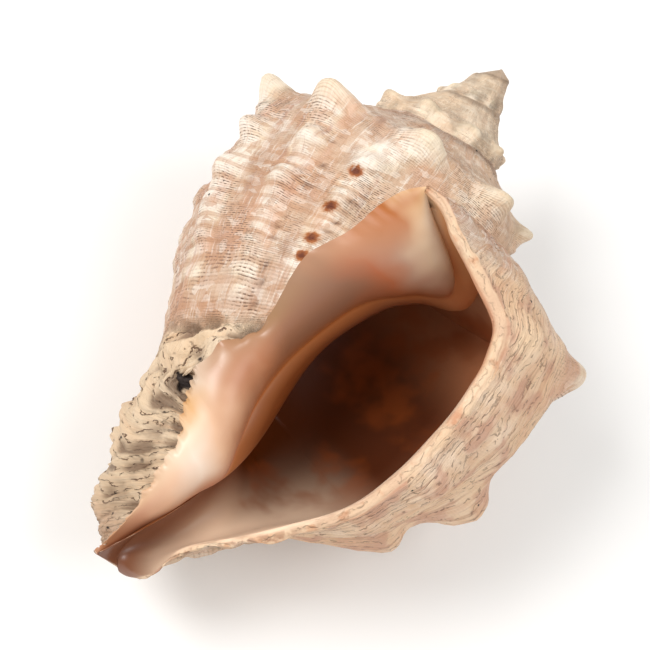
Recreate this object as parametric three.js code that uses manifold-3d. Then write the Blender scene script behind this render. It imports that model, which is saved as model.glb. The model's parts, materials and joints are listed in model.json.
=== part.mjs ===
// A knobbed whelk type sea shell, grown as one piece: a spiral of whorls with knobs on the
// shoulder, a wide open mouth with a thick rim, a smooth inner lip, and a short spout.
// Millimetres. The shell is worked out standing on its spout, apex up at height 0, with the
// growing edge on the +X side and the mouth facing -Y; it is then laid on its back to rest.
import * as THREE from "three";
import Module from "manifold-3d";

// ---- sizes that drive the shape -----------------------------------------------------------
const GROWTH_PER_TURN = 0.75; // natural log of how much a whorl widens in one turn
const TURNS_SHOWN = 3.5; // whorls from the tip of the spire to the lip
const STEPS_PER_TURN = 48;
const STRIP_ROWS = 16; // rows from the upper seam to just below the shoulder
const RIBS_PER_TURN = 8.6; // axial ribs, each ending in a shoulder knob
const LAST_RIB = -0.035; // where the last rib stands, in turns from the +X side
const KNOB_OUT = 4.9; // how far a shoulder knob stands out on the last whorl
const KNOB_UP = 2.6;
const KNOB_HOLLOW = 0.9; // how far the shoulder sinks between two knobs
// how far each rib leans back below the shoulder, in ribs, counted from the lip
const LEAN_RIBS = [0, 3, 4, 5, 6, 7];
const LEANS = [[0.1], [0.3], [0.4], [0.2], [-0.38], [0]];
const RIM_STEPS = 6; // steps round the lip's edge and over the inner lip
const CAVITY_STEPS = 15;
const CAVITY_TURNS = 0.9; // how far the hollow runs back into the whorls
const SULCUS_TURNS = 0.15; // the groove behind the upper corner of the mouth
const SULCUS_REACH = 0.12; // how far inside it is whole, in turns
const LIP_CORNER_LEAD = 0.235; // how far ahead of the +X side the lip's upper corner is
const WORN_DEPTH = 0.6; // height worn off the points that the shell lies on
const UP_AT_REST = new THREE.Vector3(0.044, -0.9775, 0.206); // which way is up once it lies down
const SHELL_COLOUR = 0xd8c0a6;

// One whorl's outline below its shoulder, in units of growth: row, radius, drop.
const WHORL_OUTLINE = [
  [0.62, 43.6, 0],
  [0.8, 44.9, 5.5],
  [1.0, 45.2, 11.5],
  [1.12, 45.0, 19],
  [1.24, 44.2, 29],
  [1.36, 41.0, 44],
  [1.5, 32.5, 61],
];

// The lip's edge from the upper corner, over the shoulder, down to the spout and round its tip.
const LIP_ROWS = [0, 0.2, 0.4, 0.62, 0.8, 1, 1.2, 1.3, 1.4, 1.5, 1.6, 1.7, 1.8, 1.9, 2];
const LIP_EDGE = [
  [2.4, -25.3, -34.4],
  [11.8, -28, -37.8],
  [20.2, -27, -41.2],
  [28.1, -26, -45.8],
  [30.7, -25.5, -51.3],
  [31.8, -25, -57.2],
  [31.7, -24, -69],
  [30.3, -22.5, -78.9],
  [27, -20, -88.9],
  [19.9, -16, -98],
  [13.9, -12.5, -104.3],
  [7.4, -9.5, -110.8],
  [4.7, -6.5, -118],
  [-0.6, 1, -119.2],
  [-6, -4.5, -119.8],
];

// The growing edge's lead over the +X side, in turns, row by row.
const LEAD_ROWS = [0, 0.2, 0.4, 0.62, 1, 1.2, 1.4, 1.5, 1.6, 1.8, 2];
const LEAD = [LIP_CORNER_LEAD, 0.172, 0.123, 0.097, 0.092, 0.092, 0.092, 0.095, 0.1, 0.12, 0.14];

// The spout's back and its scaly ridge: each row runs from beside the inner lip, round the
// left side and the back, to the lip. Entries are [azimuth in degrees, radius, height].
const SPOUT_ALONG = [0, 0.2, 0.4, 0.6, 0.8, 1];
const SPOUT_ROWS = [1.5, 1.6, 1.7, 1.8, 1.9, 2];
const SPOUT_START = [
  [-6.4, -15, -68.4],
  [-8.5, -14.3, -73.5],
  [-10.3, -13.3, -78],
  [-11.3, -12.3, -82],
  [-11.6, -11.2, -84.5],
  [-11.4, -10, -86],
];
const SPOUT_ROUND = [
  [[190, 20.6, -77], [135, 21, -84], [85, 20, -91], [35, 21, -96]],
  [[190, 18.4, -81], [140, 18, -88], [92, 16, -97], [40, 15, -102.5]],
  [[195, 18.3, -85], [155, 17.5, -93], [110, 14.5, -102], [55, 11, -109]],
  [[203, 18, -88], [178, 16.4, -97], [150, 13.2, -107], [105, 9, -114]],
  [[212, 17, -90.5], [205, 15.2, -100], [195, 12.4, -109.5], [185, 9, -116]],
  [[229, 13.6, -91], [240, 12.4, -96.8], [240, 10.6, -105], [236, 9, -113]],
];

// Where the outer surface starts, beside the inner lip, in turns behind the lip.
const START_ROWS = [1, 1.1, 1.2, 1.3, 1.4, 1.5];

// The inner lip's edge, from the spout's tip (0) up the pillar to the upper corner (1).
const PILLAR_ALONG = [0, 0.08, 0.18, 0.27, 0.33, 0.42, 0.52, 0.64, 0.73, 0.83, 0.92, 1];
const PILLAR_EDGE = [
  [0, 0, 0], // replaced by the lip's own inner end
  [-2.2, -3.4, -113],
  [0.6, -4, -106.5],
  [2.4, -4.2, -100.5],
  [4.3, -4.4, -96],
  [3, -4.6, -90],
  [1, -4.6, -81],
  [1.5, -6, -68],
  [5, -9, -56],
  [11.5, -9.5, -48.5],
  [16.8, -7, -42],
  [0, 0, 0], // replaced by the lip's own upper corner
];

// The same edge deeper inside, where the spout has closed: along, then x, y, z.
const DEEP_ALONG = [0, 0.15, 0.3, 0.45, 0.6, 0.73, 0.83, 1];
const DEEP_EDGE = [
  [5.5, -5, -88],
  [5, -5, -84],
  [4, -5, -80],
  [2.6, -5, -74],
  [1.8, -6.2, -67],
  [4.6, -9, -56],
  [11.3, -9.5, -48.6],
  [0, 0, 0],
];
// The hollow's low end in units of growth, once the spout has closed: row, radius, drop.
const DEEP_ROWS = [1.42, 1.5, 1.6, 1.8, 2];
const DEEP_OUTLINE = [
  [36, 50],
  [31, 58],
  [24, 62],
  [15, 60],
  [8, 52],
];

const WALL_ROWS = [0, 0.3, 0.6, 1, 1.4, 1.7, 2];
const WALL = [[1.5], [2.7], [2.7], [2.8], [2.3], [1.2], [0.8]];
const GLAZE_ALONG = [0, 0.12, 0.3, 0.45, 0.6, 0.72, 0.83, 0.93, 1];
const GLAZE = [[0], [0.3], [0.8], [0.6], [0.8], [0.8], [-0.8], [-1.6], [0]];

const BASE_ROWS = [1, 1.07, 1.14, 1.21, 1.28, 1.36, 1.44, 1.5, 1.58, 1.66, 1.74, 1.82, 1.91, 2];

// ---- small tools --------------------------------------------------------------------------
const TURN = 2 * Math.PI;
const growth = (turn) => Math.exp(GROWTH_PER_TURN * turn);
const shoulderHeight = (turn) => 20.5 - 58 * Math.exp(0.25 * turn);
const bell = (x, width) => Math.exp(-((x / width) ** 2));

function smooth(x) {
  const c = Math.min(1, Math.max(0, x));
  return c * c * (3 - 2 * c);
}

// A smooth curve through points given at uneven knots.
function curveAt(points, knots, x) {
  const last = knots.length - 1;
  let i = 0;
  while (i < last - 1 && x >= knots[i + 1]) i += 1;
  const slope = (k) => points[k].map((v, d) => (points[k + 1][d] - v) / (knots[k + 1] - knots[k]));
  const tangent = (k) => {
    if (k === 0) return slope(0);
    if (k === last) return slope(last - 1);
    const before = knots[k] - knots[k - 1];
    const after = knots[k + 1] - knots[k];
    const a = slope(k - 1);
    const b = slope(k);
    return a.map((v, d) => (v * after + b[d] * before) / (before + after));
  };
  const h = knots[i + 1] - knots[i];
  const u = (x - knots[i]) / h;
  const p = points[i];
  const q = points[i + 1];
  const m = tangent(i);
  const n = tangent(i + 1);
  const u2 = u * u;
  const u3 = u2 * u;
  return p.map(
    (v, d) =>
      (2 * u3 - 3 * u2 + 1) * v +
      (u3 - 2 * u2 + u) * h * m[d] +
      (3 * u2 - 2 * u3) * q[d] +
      (u3 - u2) * h * n[d],
  );
}

const add = (a, b, k = 1) => a.map((v, d) => v + k * b[d]);
const mix = (a, b, u) => a.map((v, d) => v + (b[d] - v) * u);
const cross = (a, b) => [
  a[1] * b[2] - a[2] * b[1],
  a[2] * b[0] - a[0] * b[2],
  a[0] * b[1] - a[1] * b[0],
];

function unit(a) {
  const length = Math.max(1e-9, Math.hypot(...a));
  return a.map((v) => v / length);
}

function turned(a, angle) {
  const c = Math.cos(angle);
  const s = Math.sin(angle);
  return [c * a[0] - s * a[1], s * a[0] + c * a[1], a[2]];
}

// ---- the outer surface --------------------------------------------------------------------
// The strip is joined to itself one turn earlier, so the rows' leads must differ by whole steps.
const STEPS_TO_SEAM = Math.round((1 - LIP_CORNER_LEAD + LEAD[4]) * STEPS_PER_TURN);
LEAD[4] = STEPS_TO_SEAM / STEPS_PER_TURN - 1 + LIP_CORNER_LEAD;
const START_TURNS = [-STEPS_TO_SEAM / STEPS_PER_TURN, -0.835, -0.825, -0.815, -0.79, -0.78];

const leadAt = (row) => curveAt(LEAD.map((v) => [v]), LEAD_ROWS, row)[0];
const startAt = (row) => curveAt(START_TURNS.map((v) => [v]), START_ROWS, Math.min(row, 1.5))[0];

// The plain whorl: a point at a turn and a row, hanging from the whorl before it.
function plainWhorl(turn, row) {
  const size = growth(turn);
  const [, seamRadius, seamDrop] = WHORL_OUTLINE[2];
  const seam = [
    growth(turn - 1) * seamRadius,
    shoulderHeight(turn - 1) - growth(turn - 1) * seamDrop,
  ];
  const below = WHORL_OUTLINE.map(([, r, drop]) => [size * r, shoulderHeight(turn) - size * drop]);
  const shoulder = below[0];
  const onRamp = (outward, downward) => [
    seam[0] + (shoulder[0] - seam[0]) * outward,
    seam[1] + (shoulder[1] - seam[1]) * downward,
  ];
  const outline = [seam, onRamp(0.32, 0.4), onRamp(0.7, 0.8), ...below];
  const knots = [0, 0.2, 0.42, ...WHORL_OUTLINE.map(([k]) => k)];
  const [radius, height] = curveAt(outline, knots, row);
  return turned([radius, 0, height], -TURN * turn);
}

// 1 on a rib's crest and 0 between two ribs, each leaning back below the shoulder.
function ribAt(turn, row) {
  const plain = RIBS_PER_TURN * (LAST_RIB - turn);
  const lean = curveAt(LEANS, LEAN_RIBS, Math.min(7, Math.max(0, plain)))[0];
  const number = plain - lean * smooth((row - 0.75) / 0.35);
  return ((1 + Math.cos(TURN * number)) / 2) ** 2;
}

// How far ribs, nodules and knobs stand out, and how far the knobs lift.
function sculpture(turn, row) {
  const size = growth(turn);
  const late = smooth((turn + 0.16) / 0.1);
  const early = smooth((-0.8 - turn) / 0.3);
  const rib = ribAt(turn, row);
  const knob = bell(row - 0.66, 0.13) * (1 - 0.3 * early);
  const nodules =
    0.25 * bell(row - 0.9, 0.04) +
    0.95 * bell(row - 1.07, 0.045) +
    1.0 * bell(row - 1.245, 0.038) +
    0.5 * bell(row - 1.33, 0.03) +
    0.35 * bell(row - 1.39, 0.03);
  const ridge = 0.75 * smooth((row - 0.3) / 0.3) * smooth((1.5 - row) / 0.3);
  const lastRib =
    2.2 * bell(row - 1.285, 0.055) + 1.6 * bell(row - 1.42, 0.045) + 0.2 * bell(row - 1, 0.2);
  const sharp = rib * knob;
  const peak = sharp + late * sharp * (1 - sharp); // the last knob is blunt
  const below = 4.2 * nodules * (1 - late) + 1.6 * ridge + 3.6 * late * lastRib;
  const out = KNOB_OUT * peak * (1 - 0.1 * late) + rib * below;
  const sunk = KNOB_HOLLOW * size * (1 - rib) * knob;
  return [size * out - sunk, size * peak * (KNOB_UP - late) - sunk];
}

// The outer surface down to the base of the whorl; step is in turns behind the lip.
function whorlPoint(step, row, ribbed = true) {
  const lead = leadAt(row);
  const turn = step + lead;
  let point = plainWhorl(turn, row);
  if (ribbed) {
    const [out, up] = sculpture(turn, row);
    const kept = (1 - 0.85 * smooth((step + 0.105) / 0.105)) * smooth(row / 0.25);
    point = add(point, turned([out * kept, 0, up * kept], -TURN * turn));
  }
  const plainLip = plainWhorl(lead, row);
  const edge = mix(plainLip, curveAt(LIP_EDGE, LIP_ROWS, row), smooth(row / 0.2));
  const reach = 0.105 + 0.13 * smooth((row - 1.15) / 0.25);
  const pull = smooth((step + reach) / reach);
  const shift = turned(add(edge, plainLip, -1), TURN * (lead - turn));
  return add(point, shift, pull);
}

// Points of the spout's rows at a place along them.
function spoutRows(along) {
  return SPOUT_ROWS.map((row, i) => {
    const round = SPOUT_ROUND[i].map(([az, r, z]) => turned([r, 0, z], (az * Math.PI) / 180));
    const end = curveAt(LIP_EDGE, LIP_ROWS, row);
    return curveAt([SPOUT_START[i], ...round, end], SPOUT_ALONG, along);
  });
}

// The base of the last whorl and the spout, from beside the inner lip (0) to the lip (1).
function basePoint(along, row) {
  if (row <= 1.42) return whorlPoint(startAt(row) * (1 - along), row);
  const upper = [1.3, 1.36, 1.42];
  const points = upper.map((r) => whorlPoint(startAt(r) * (1 - along), r));
  return curveAt([...points, ...spoutRows(along)], [...upper, ...SPOUT_ROWS], row);
}

// ---- the lip, the inner lip and the hollow ------------------------------------------------
// The outer wall at some depth behind the lip, by row; deep closes the groove at the corner.
function wallPoint(depth, row, deep) {
  if (row <= 1.42 + 1e-9) {
    return whorlPoint(-depth - SULCUS_TURNS * deep * (1 - smooth(row / 0.45)), row, false);
  }
  const upper = [1.3, 1.36, 1.42];
  const points = upper.map((r) => whorlPoint(-depth, r, false));
  const spout = spoutRows(Math.max(0, 1 - depth / 0.78));
  const real = curveAt([...points, ...spout], [...upper, ...SPOUT_ROWS], row);
  const turn = leadAt(row) - depth;
  const [radius, drop] = curveAt(DEEP_OUTLINE, DEEP_ROWS, row);
  const size = growth(turn);
  const closed = turned([size * radius, 0, shoulderHeight(turn) - size * drop], -TURN * turn);
  const joined = add(closed, stepDown(depth), 1 - smooth((row - DEEP_ROWS[0]) / 0.4));
  return mix(real, joined, smooth(depth / 0.4));
}

// From the closed low end's first row up to the swept wall's last, at a depth.
function stepDown(depth) {
  const turn = leadAt(DEEP_ROWS[0]) - depth;
  const [radius, drop] = DEEP_OUTLINE[0];
  const size = growth(turn);
  const first = turned([size * radius, 0, shoulderHeight(turn) - size * drop], -TURN * turn);
  return add(whorlPoint(-depth, DEEP_ROWS[0], false), first, -1);
}

// Points of the wall with the directions forward along the growth and outward.
function wallFrame(depth, rows, deep) {
  const here = rows.map((row) => wallPoint(depth, row, deep));
  const behind = rows.map((row) => wallPoint(depth + 0.004, row, deep));
  return here.map((point, i) => {
    const forward = unit(add(point, behind[i], -1));
    const before = here[Math.max(0, i - 1)];
    const after = here[Math.min(rows.length - 1, i + 1)];
    const down = unit(add(after, before, -1));
    return { point, forward, outward: unit(cross(forward, down)) };
  });
}

// Halfway round the axis rather than through it, so that the inner lip stays full.
function roundMix(a, b, u) {
  const radius = (p) => Math.hypot(p[0], p[1]);
  const angle = (p) => Math.atan2(p[1], p[0]);
  const r = radius(a) + (radius(b) - radius(a)) * u ** 1.5;
  const z = a[2] + (b[2] - a[2]) * u;
  return turned([r, 0, z], angle(a) + (angle(b) - angle(a)) * u);
}

// A point of the inner edge, carried back along the growth.
function carriedBack(point, depth) {
  const size = Math.exp(-GROWTH_PER_TURN * depth);
  const from = 0.1;
  const height = shoulderHeight(from - depth) + size * (point[2] - shoulderHeight(from));
  const [x, y] = turned(point, TURN * depth);
  return [size * x, size * y, height];
}

// Closed rings from the outer boundary, round the lip's edge and over the inner lip, and on
// into the hollow. Each ring lists the wall from the upper corner down to the spout's tip,
// and then the inner side back up.
function mouthRings() {
  const strip = Array.from({ length: STRIP_ROWS + 1 }, (_, j) => j / STRIP_ROWS);
  const rows = [...strip, ...BASE_ROWS.slice(1)];
  const walls = rows.map((row) => curveAt(WALL, WALL_ROWS, row)[0]);
  const lip = wallFrame(0, rows, 0);

  const border = BASE_ROWS.map((row) => basePoint(0, row));
  for (let k = 1; k <= STEPS_TO_SEAM; k += 1) border.push(basePoint(k / STEPS_TO_SEAM, 2));
  const run = [0];
  for (let k = 1; k < border.length; k += 1) {
    run.push(run[k - 1] + Math.hypot(...add(border[k], border[k - 1], -1)));
  }
  const place = run.map((d) => 1 - d / run[run.length - 1]);

  const rims = [];
  for (let q = 1; q <= RIM_STEPS; q += 1) {
    const u = q / RIM_STEPS;
    rims.push(
      lip.map((edge, i) => {
        const inward = (walls[i] * (1 - Math.cos(Math.PI * u))) / 2;
        const bulge = 0.35 * walls[i] * Math.sin(Math.PI * u);
        return add(add(edge.point, edge.outward, -inward), edge.forward, bulge);
      }),
    );
  }
  const innerRim = rims[RIM_STEPS - 1];
  const edgePoints = PILLAR_EDGE.slice();
  edgePoints[0] = innerRim[rows.length - 1];
  edgePoints[edgePoints.length - 1] = innerRim[0];
  const edge = place.map((w) => curveAt(edgePoints, PILLAR_ALONG, w));

  const rings = [[...lip.map((f) => f.point), ...border.slice(1, -1).reverse()]];
  for (let q = 1; q <= RIM_STEPS; q += 1) {
    const u = 0.35 * smooth(q / RIM_STEPS) + (0.65 * q) / RIM_STEPS;
    const inner = border.map((point, k) => {
      if (q === RIM_STEPS) return edge[k];
      const glaze = curveAt(GLAZE, GLAZE_ALONG, place[k])[0] * Math.sin(Math.PI * u);
      return add(roundMix(point, edge[k], u), [-0.15, -1, -0.1], glaze);
    });
    rings.push([...rims[q - 1], ...inner.slice(1, -1).reverse()]);
  }

  for (let c = 1; c <= CAVITY_STEPS; c += 1) {
    const depth = CAVITY_TURNS * (c / CAVITY_STEPS) ** 1.25;
    const frame = wallFrame(depth, rows, smooth(depth / SULCUS_REACH));
    const wall = rows.map((row, i) => {
      const inner = 3 * smooth((depth - 0.5) / 0.35) * smooth((row - 0.8) / 0.3);
      const thick = walls[i] + 0.8 * smooth(depth / 0.1) + inner;
      return add(frame[i].point, frame[i].outward, -thick * Math.exp(-0.5 * depth));
    });
    const lift = smooth(depth / 0.42);
    const inner = edge.map((point, k) => {
      const w = place[k];
      const deep = w > 0.72 ? point : curveAt(DEEP_EDGE, DEEP_ALONG, w);
      return carriedBack(mix(point, deep, lift), depth);
    });
    const gap = add(wall[0], inner[0], -1);
    const closed = inner.map((p, k) => add(p, gap, smooth((place[k] - 0.8) / 0.2)));
    const ring = [...wall, ...closed.slice(1, -1).reverse()];
    const middle = centreOf(ring);
    const shrink = 0.25 * smooth(depth / CAVITY_TURNS);
    rings.push(ring.map((p) => mix(p, middle, shrink)));
  }
  return rings;
}

function centreOf(points) {
  return points.reduce((sum, p) => add(sum, p), [0, 0, 0]).map((v) => v / points.length);
}

// ---- one closed surface -------------------------------------------------------------------
function shellSurface() {
  const points = [[0, 0, -0.6]]; // the tip of the spire
  const faces = [];
  const keep = (p) => points.push(p) - 1;
  const triangle = (a, b, c) => {
    if (a !== b && b !== c && a !== c) faces.push(a, b, c);
  };
  const quad = (a, b, c, d) => {
    triangle(a, b, c);
    triangle(a, c, d);
  };

  const steps = Math.round(TURNS_SHOWN * STEPS_PER_TURN);
  const strip = [];
  for (let i = 0; i <= steps; i += 1) {
    const seam = i < STEPS_TO_SEAM ? 0 : strip[i - STEPS_TO_SEAM][STRIP_ROWS];
    const column = [seam];
    for (let j = 1; j <= STRIP_ROWS; j += 1) {
      column.push(keep(whorlPoint((i - steps) / STEPS_PER_TURN, j / STRIP_ROWS)));
    }
    strip.push(column);
  }
  for (let i = 0; i < steps; i += 1) {
    for (let j = 0; j < STRIP_ROWS; j += 1) {
      quad(strip[i][j], strip[i + 1][j], strip[i + 1][j + 1], strip[i][j + 1]);
    }
  }
  for (let j = 1; j < STRIP_ROWS; j += 1) triangle(0, strip[0][j], strip[0][j + 1]);

  const base = [];
  for (let k = 0; k <= STEPS_TO_SEAM; k += 1) {
    const column = [strip[steps - STEPS_TO_SEAM + k][STRIP_ROWS]];
    for (const row of BASE_ROWS.slice(1)) column.push(keep(basePoint(k / STEPS_TO_SEAM, row)));
    base.push(column);
  }
  const lastRow = BASE_ROWS.length - 1;
  for (let k = 0; k < STEPS_TO_SEAM; k += 1) {
    for (let j = 0; j < lastRow; j += 1) {
      quad(base[k][j], base[k + 1][j], base[k + 1][j + 1], base[k][j + 1]);
    }
  }

  const border = [...base[0], ...base.slice(1).map((column) => column[lastRow])];
  let previous = [
    ...strip[steps],
    ...base[STEPS_TO_SEAM].slice(1),
    ...border.slice(1, -1).reverse(),
  ];
  const rings = mouthRings();
  for (const ring of rings.slice(1)) {
    const current = ring.map(keep);
    current.forEach((_, i) => {
      const next = (i + 1) % current.length;
      quad(previous[i], current[i], current[next], previous[next]);
    });
    previous = current;
  }
  const end = keep(centreOf(rings[rings.length - 1]));
  previous.forEach((v, i) => triangle(v, end, previous[(i + 1) % previous.length]));
  return { points, faces };
}

function toGeometry({ points, faces }) {
  const geometry = new THREE.BufferGeometry();
  geometry.setAttribute("position", new THREE.Float32BufferAttribute(points.flat(), 3));
  geometry.setIndex(faces);
  return geometry;
}

// Lays the shell on its back, with the spire along +X and its lowest points just in the floor.
function laidDown(geometry) {
  const lie = new THREE.Quaternion().setFromUnitVectors(
    UP_AT_REST.clone().normalize(),
    new THREE.Vector3(0, 0, 1),
  );
  const spire = new THREE.Vector3(0, 0, 1).applyQuaternion(lie);
  geometry.applyQuaternion(lie);
  geometry.rotateZ(-Math.atan2(spire.y, spire.x));
  geometry.computeBoundingBox();
  geometry.translate(0, 0, -geometry.boundingBox.min.z - WORN_DEPTH);
  return geometry;
}

const wasm = await Module();
wasm.setup();

// Wears the points it lies on down to the floor, which leaves small flats.
function wornFlat(geometry) {
  const solid = new wasm.Manifold(
    new wasm.Mesh({
      numProp: 3,
      vertProperties: geometry.attributes.position.array,
      triVerts: new Uint32Array(geometry.index.array),
    }),
  );
  const cut = solid.trimByPlane([0, 0, 1], 0).getMesh();
  const worn = new THREE.BufferGeometry();
  worn.setAttribute("position", new THREE.Float32BufferAttribute(cut.vertProperties, 3));
  worn.setIndex(Array.from(cut.triVerts));
  worn.computeBoundingBox();
  const { min, max } = worn.boundingBox;
  worn.translate(-(min.x + max.x) / 2, -(min.y + max.y) / 2, 0);
  return worn;
}

const shell = new THREE.Mesh(
  wornFlat(laidDown(toGeometry(shellSurface()))),
  new THREE.MeshStandardMaterial({ color: SHELL_COLOUR, roughness: 0.7, metalness: 0 }),
);
shell.name = "shell";

const part = new THREE.Group();
part.name = "conch_shell";
part.add(shell);
export default part;
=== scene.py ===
"""A knobbed whelk type sea shell lying on its back, mouth up, on a pale studio floor.

The shell is worked out in millimetres as it grows: standing on its spout, with the tip of the
spire at height 0, the growing edge on the +X side and the mouth facing -Y. It is then laid on
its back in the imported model's frame. Every surface is a grid of two parameters:

* turn: how far round the spiral a point is, in whorls, 0 at the +X side of the last whorl;
* row: how far down a whorl it is, 0 at the upper seam, 0.62 at the shoulder, 1 at the seam of
  the next whorl, 1.5 at the foot of the last whorl and 2 along the spout.
"""

import json
import logging
from dataclasses import dataclass, field
from enum import Enum

import bpy
import numpy as np
from mathutils import Matrix, Vector

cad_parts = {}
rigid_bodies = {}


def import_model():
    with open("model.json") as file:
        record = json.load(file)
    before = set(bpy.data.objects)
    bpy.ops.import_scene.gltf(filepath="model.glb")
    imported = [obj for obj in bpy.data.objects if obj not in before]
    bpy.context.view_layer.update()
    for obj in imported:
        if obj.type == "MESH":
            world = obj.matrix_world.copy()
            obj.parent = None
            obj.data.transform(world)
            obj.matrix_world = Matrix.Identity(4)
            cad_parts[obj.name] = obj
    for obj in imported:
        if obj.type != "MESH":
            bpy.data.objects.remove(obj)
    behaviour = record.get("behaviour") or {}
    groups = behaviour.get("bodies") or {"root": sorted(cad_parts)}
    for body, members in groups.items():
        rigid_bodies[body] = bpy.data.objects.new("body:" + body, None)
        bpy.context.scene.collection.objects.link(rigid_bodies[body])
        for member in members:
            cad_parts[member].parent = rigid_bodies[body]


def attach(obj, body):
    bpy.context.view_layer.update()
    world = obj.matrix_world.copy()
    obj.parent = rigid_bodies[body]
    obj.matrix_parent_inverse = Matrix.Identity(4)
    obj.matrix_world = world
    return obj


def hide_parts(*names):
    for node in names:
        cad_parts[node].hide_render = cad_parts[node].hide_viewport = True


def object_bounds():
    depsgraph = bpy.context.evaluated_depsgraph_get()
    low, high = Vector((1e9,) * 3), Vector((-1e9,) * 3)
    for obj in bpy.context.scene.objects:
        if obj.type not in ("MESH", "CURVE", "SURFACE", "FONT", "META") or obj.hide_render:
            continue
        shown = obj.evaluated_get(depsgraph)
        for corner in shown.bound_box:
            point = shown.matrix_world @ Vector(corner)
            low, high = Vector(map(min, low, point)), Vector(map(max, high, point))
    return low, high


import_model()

CAD_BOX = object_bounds()
LOG = logging.getLogger("shell")
Array = np.ndarray
Socket = bpy.types.NodeSocket

CIRCLE = 2 * np.pi
MM = 0.001  # metres


# ---- small tools ---------------------------------------------------------------------------
def smooth(x: Array) -> Array:
    """Eases from 0 to 1 as x goes from 0 to 1: three x squared less two x cubed."""
    c = np.clip(x, 0, 1)
    return c * c * (3 - 2 * c)


def bell(x: Array, width: float) -> Array:
    """A bump of height 1 at x = 0: e to the minus (x over width) squared."""
    return np.exp(-((x / width) ** 2))


def unit(vectors: Array) -> Array:
    """Vectors divided by their lengths."""
    return vectors / np.maximum(np.linalg.norm(vectors, axis=-1, keepdims=True), 1e-9)


def turned(points: Array, angle: Array) -> Array:
    """Points turned about the shell's axis by an angle in radians."""
    c, s = np.cos(angle), np.sin(angle)
    x, y, z = points[..., 0], points[..., 1], points[..., 2]
    return np.stack([c * x - s * y, s * x + c * y, z + 0 * c], -1)


def curve_at(points: Array, knots: Array, x: Array, own: bool = False) -> Array:
    """A smooth curve through points given at uneven knots.

    Each span is a cubic whose end slopes are the neighbouring chords' slopes, weighed by how
    near each chord is.

    Args:
        points: the points, one for each knot, first axis along the curve.
        knots: rising places of the points.
        x: places to work out.
        own: True where the second axis of points gives every x a curve of its own.
    Returns:
        The points at x, first axis along x.
    """
    points, knots, x = np.asarray(points, float), np.asarray(knots, float), np.asarray(x, float)
    shape = (-1,) + (1,) * (points.ndim - 1)
    gap = np.diff(knots).reshape(shape)
    chord = np.diff(points, axis=0) / gap
    slope = np.empty_like(points)
    slope[1:-1] = (chord[:-1] * gap[1:] + chord[1:] * gap[:-1]) / (gap[1:] + gap[:-1])
    slope[0], slope[-1] = chord[0], chord[-1]
    i = np.clip(np.searchsorted(knots, x, side="right") - 1, 0, len(knots) - 2)
    h = knots[i + 1] - knots[i]
    u = (x - knots[i]) / h
    if own:
        n = np.arange(len(x))
        a, b, m, k = points[i, n], points[i + 1, n], slope[i, n], slope[i + 1, n]
    else:
        a, b, m, k = points[i], points[i + 1], slope[i], slope[i + 1]
    wide = (-1,) + (1,) * (a.ndim - 1)
    u, h = u.reshape(wide), h.reshape(wide)
    u2, u3 = u * u, u * u * u
    return (
        (2 * u3 - 3 * u2 + 1) * a
        + (u3 - 2 * u2 + u) * h * m
        + (3 * u2 - 2 * u3) * b
        + (u3 - u2) * h * k
    )


def level(values: Array, knots: Array, x: Array) -> Array:
    """A smooth curve of plain numbers, for x of any shape."""
    flat = curve_at(np.asarray(values, float)[:, None], knots, np.ravel(x))[:, 0]
    return flat.reshape(np.shape(x))


class Unevenness:
    """Smooth noise from -1 to 1 in space, the same on every run."""

    def __init__(self, seed: int) -> None:
        """Fills a cube of random values that repeats for ever."""
        self.size = 32
        self.cube = np.random.default_rng(seed).uniform(-1, 1, (self.size,) * 3)

    def at(self, places: Array, pitch: float) -> Array:
        """Noise at places: the cube's values, eased between the eight corners around each.

        Args:
            places: points, last axis x, y, z.
            pitch: the distance between two random values.
        Returns:
            One value for each place.
        """
        p = np.asarray(places, float) / pitch
        low = np.floor(p).astype(int)
        part = smooth(p - low)
        total = 0
        for corner in np.ndindex(2, 2, 2):
            near = (low + corner) % self.size
            weight = np.prod(np.where(corner, part, 1 - part), axis=-1)
            total = total + weight * self.cube[near[..., 0], near[..., 1], near[..., 2]]
        return total


# ---- the shell's form ----------------------------------------------------------------------
@dataclass(frozen=True)
class Growth:
    """How the spiral widens and sinks as it turns."""

    per_turn: float = 0.75  # natural log of how much a whorl widens in one turn
    apex: float = 20.5
    fall: float = 58.0
    fall_rate: float = 0.25
    turns: float = 3.5  # whorls from the tip of the spire to the lip

    def size(self, turn: Array) -> Array:
        """The whorl's size against the last whorl's: e to the growth times the turn."""
        return np.exp(self.per_turn * turn)

    def shoulder(self, turn: Array) -> Array:
        """Height of the shoulder: it falls from the tip as e to a quarter of the turn."""
        return self.apex - self.fall * np.exp(self.fall_rate * turn)

    def carried_back(self, points: Array, depth: Array, start: float = 0.1) -> Array:
        """Points carried back along the growth: shrunk, turned back and lifted.

        Args:
            points: points near the lip.
            depth: how far back, in turns.
            start: the turn that the points belong to.
        Returns:
            The same places of an earlier lip.
        """
        size = np.exp(-self.per_turn * depth)
        moved = turned(points, CIRCLE * depth) * np.stack([size, size, size], -1)
        moved[..., 2] = self.shoulder(start - depth) + size * (
            points[..., 2] - self.shoulder(start)
        )
        return moved


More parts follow.
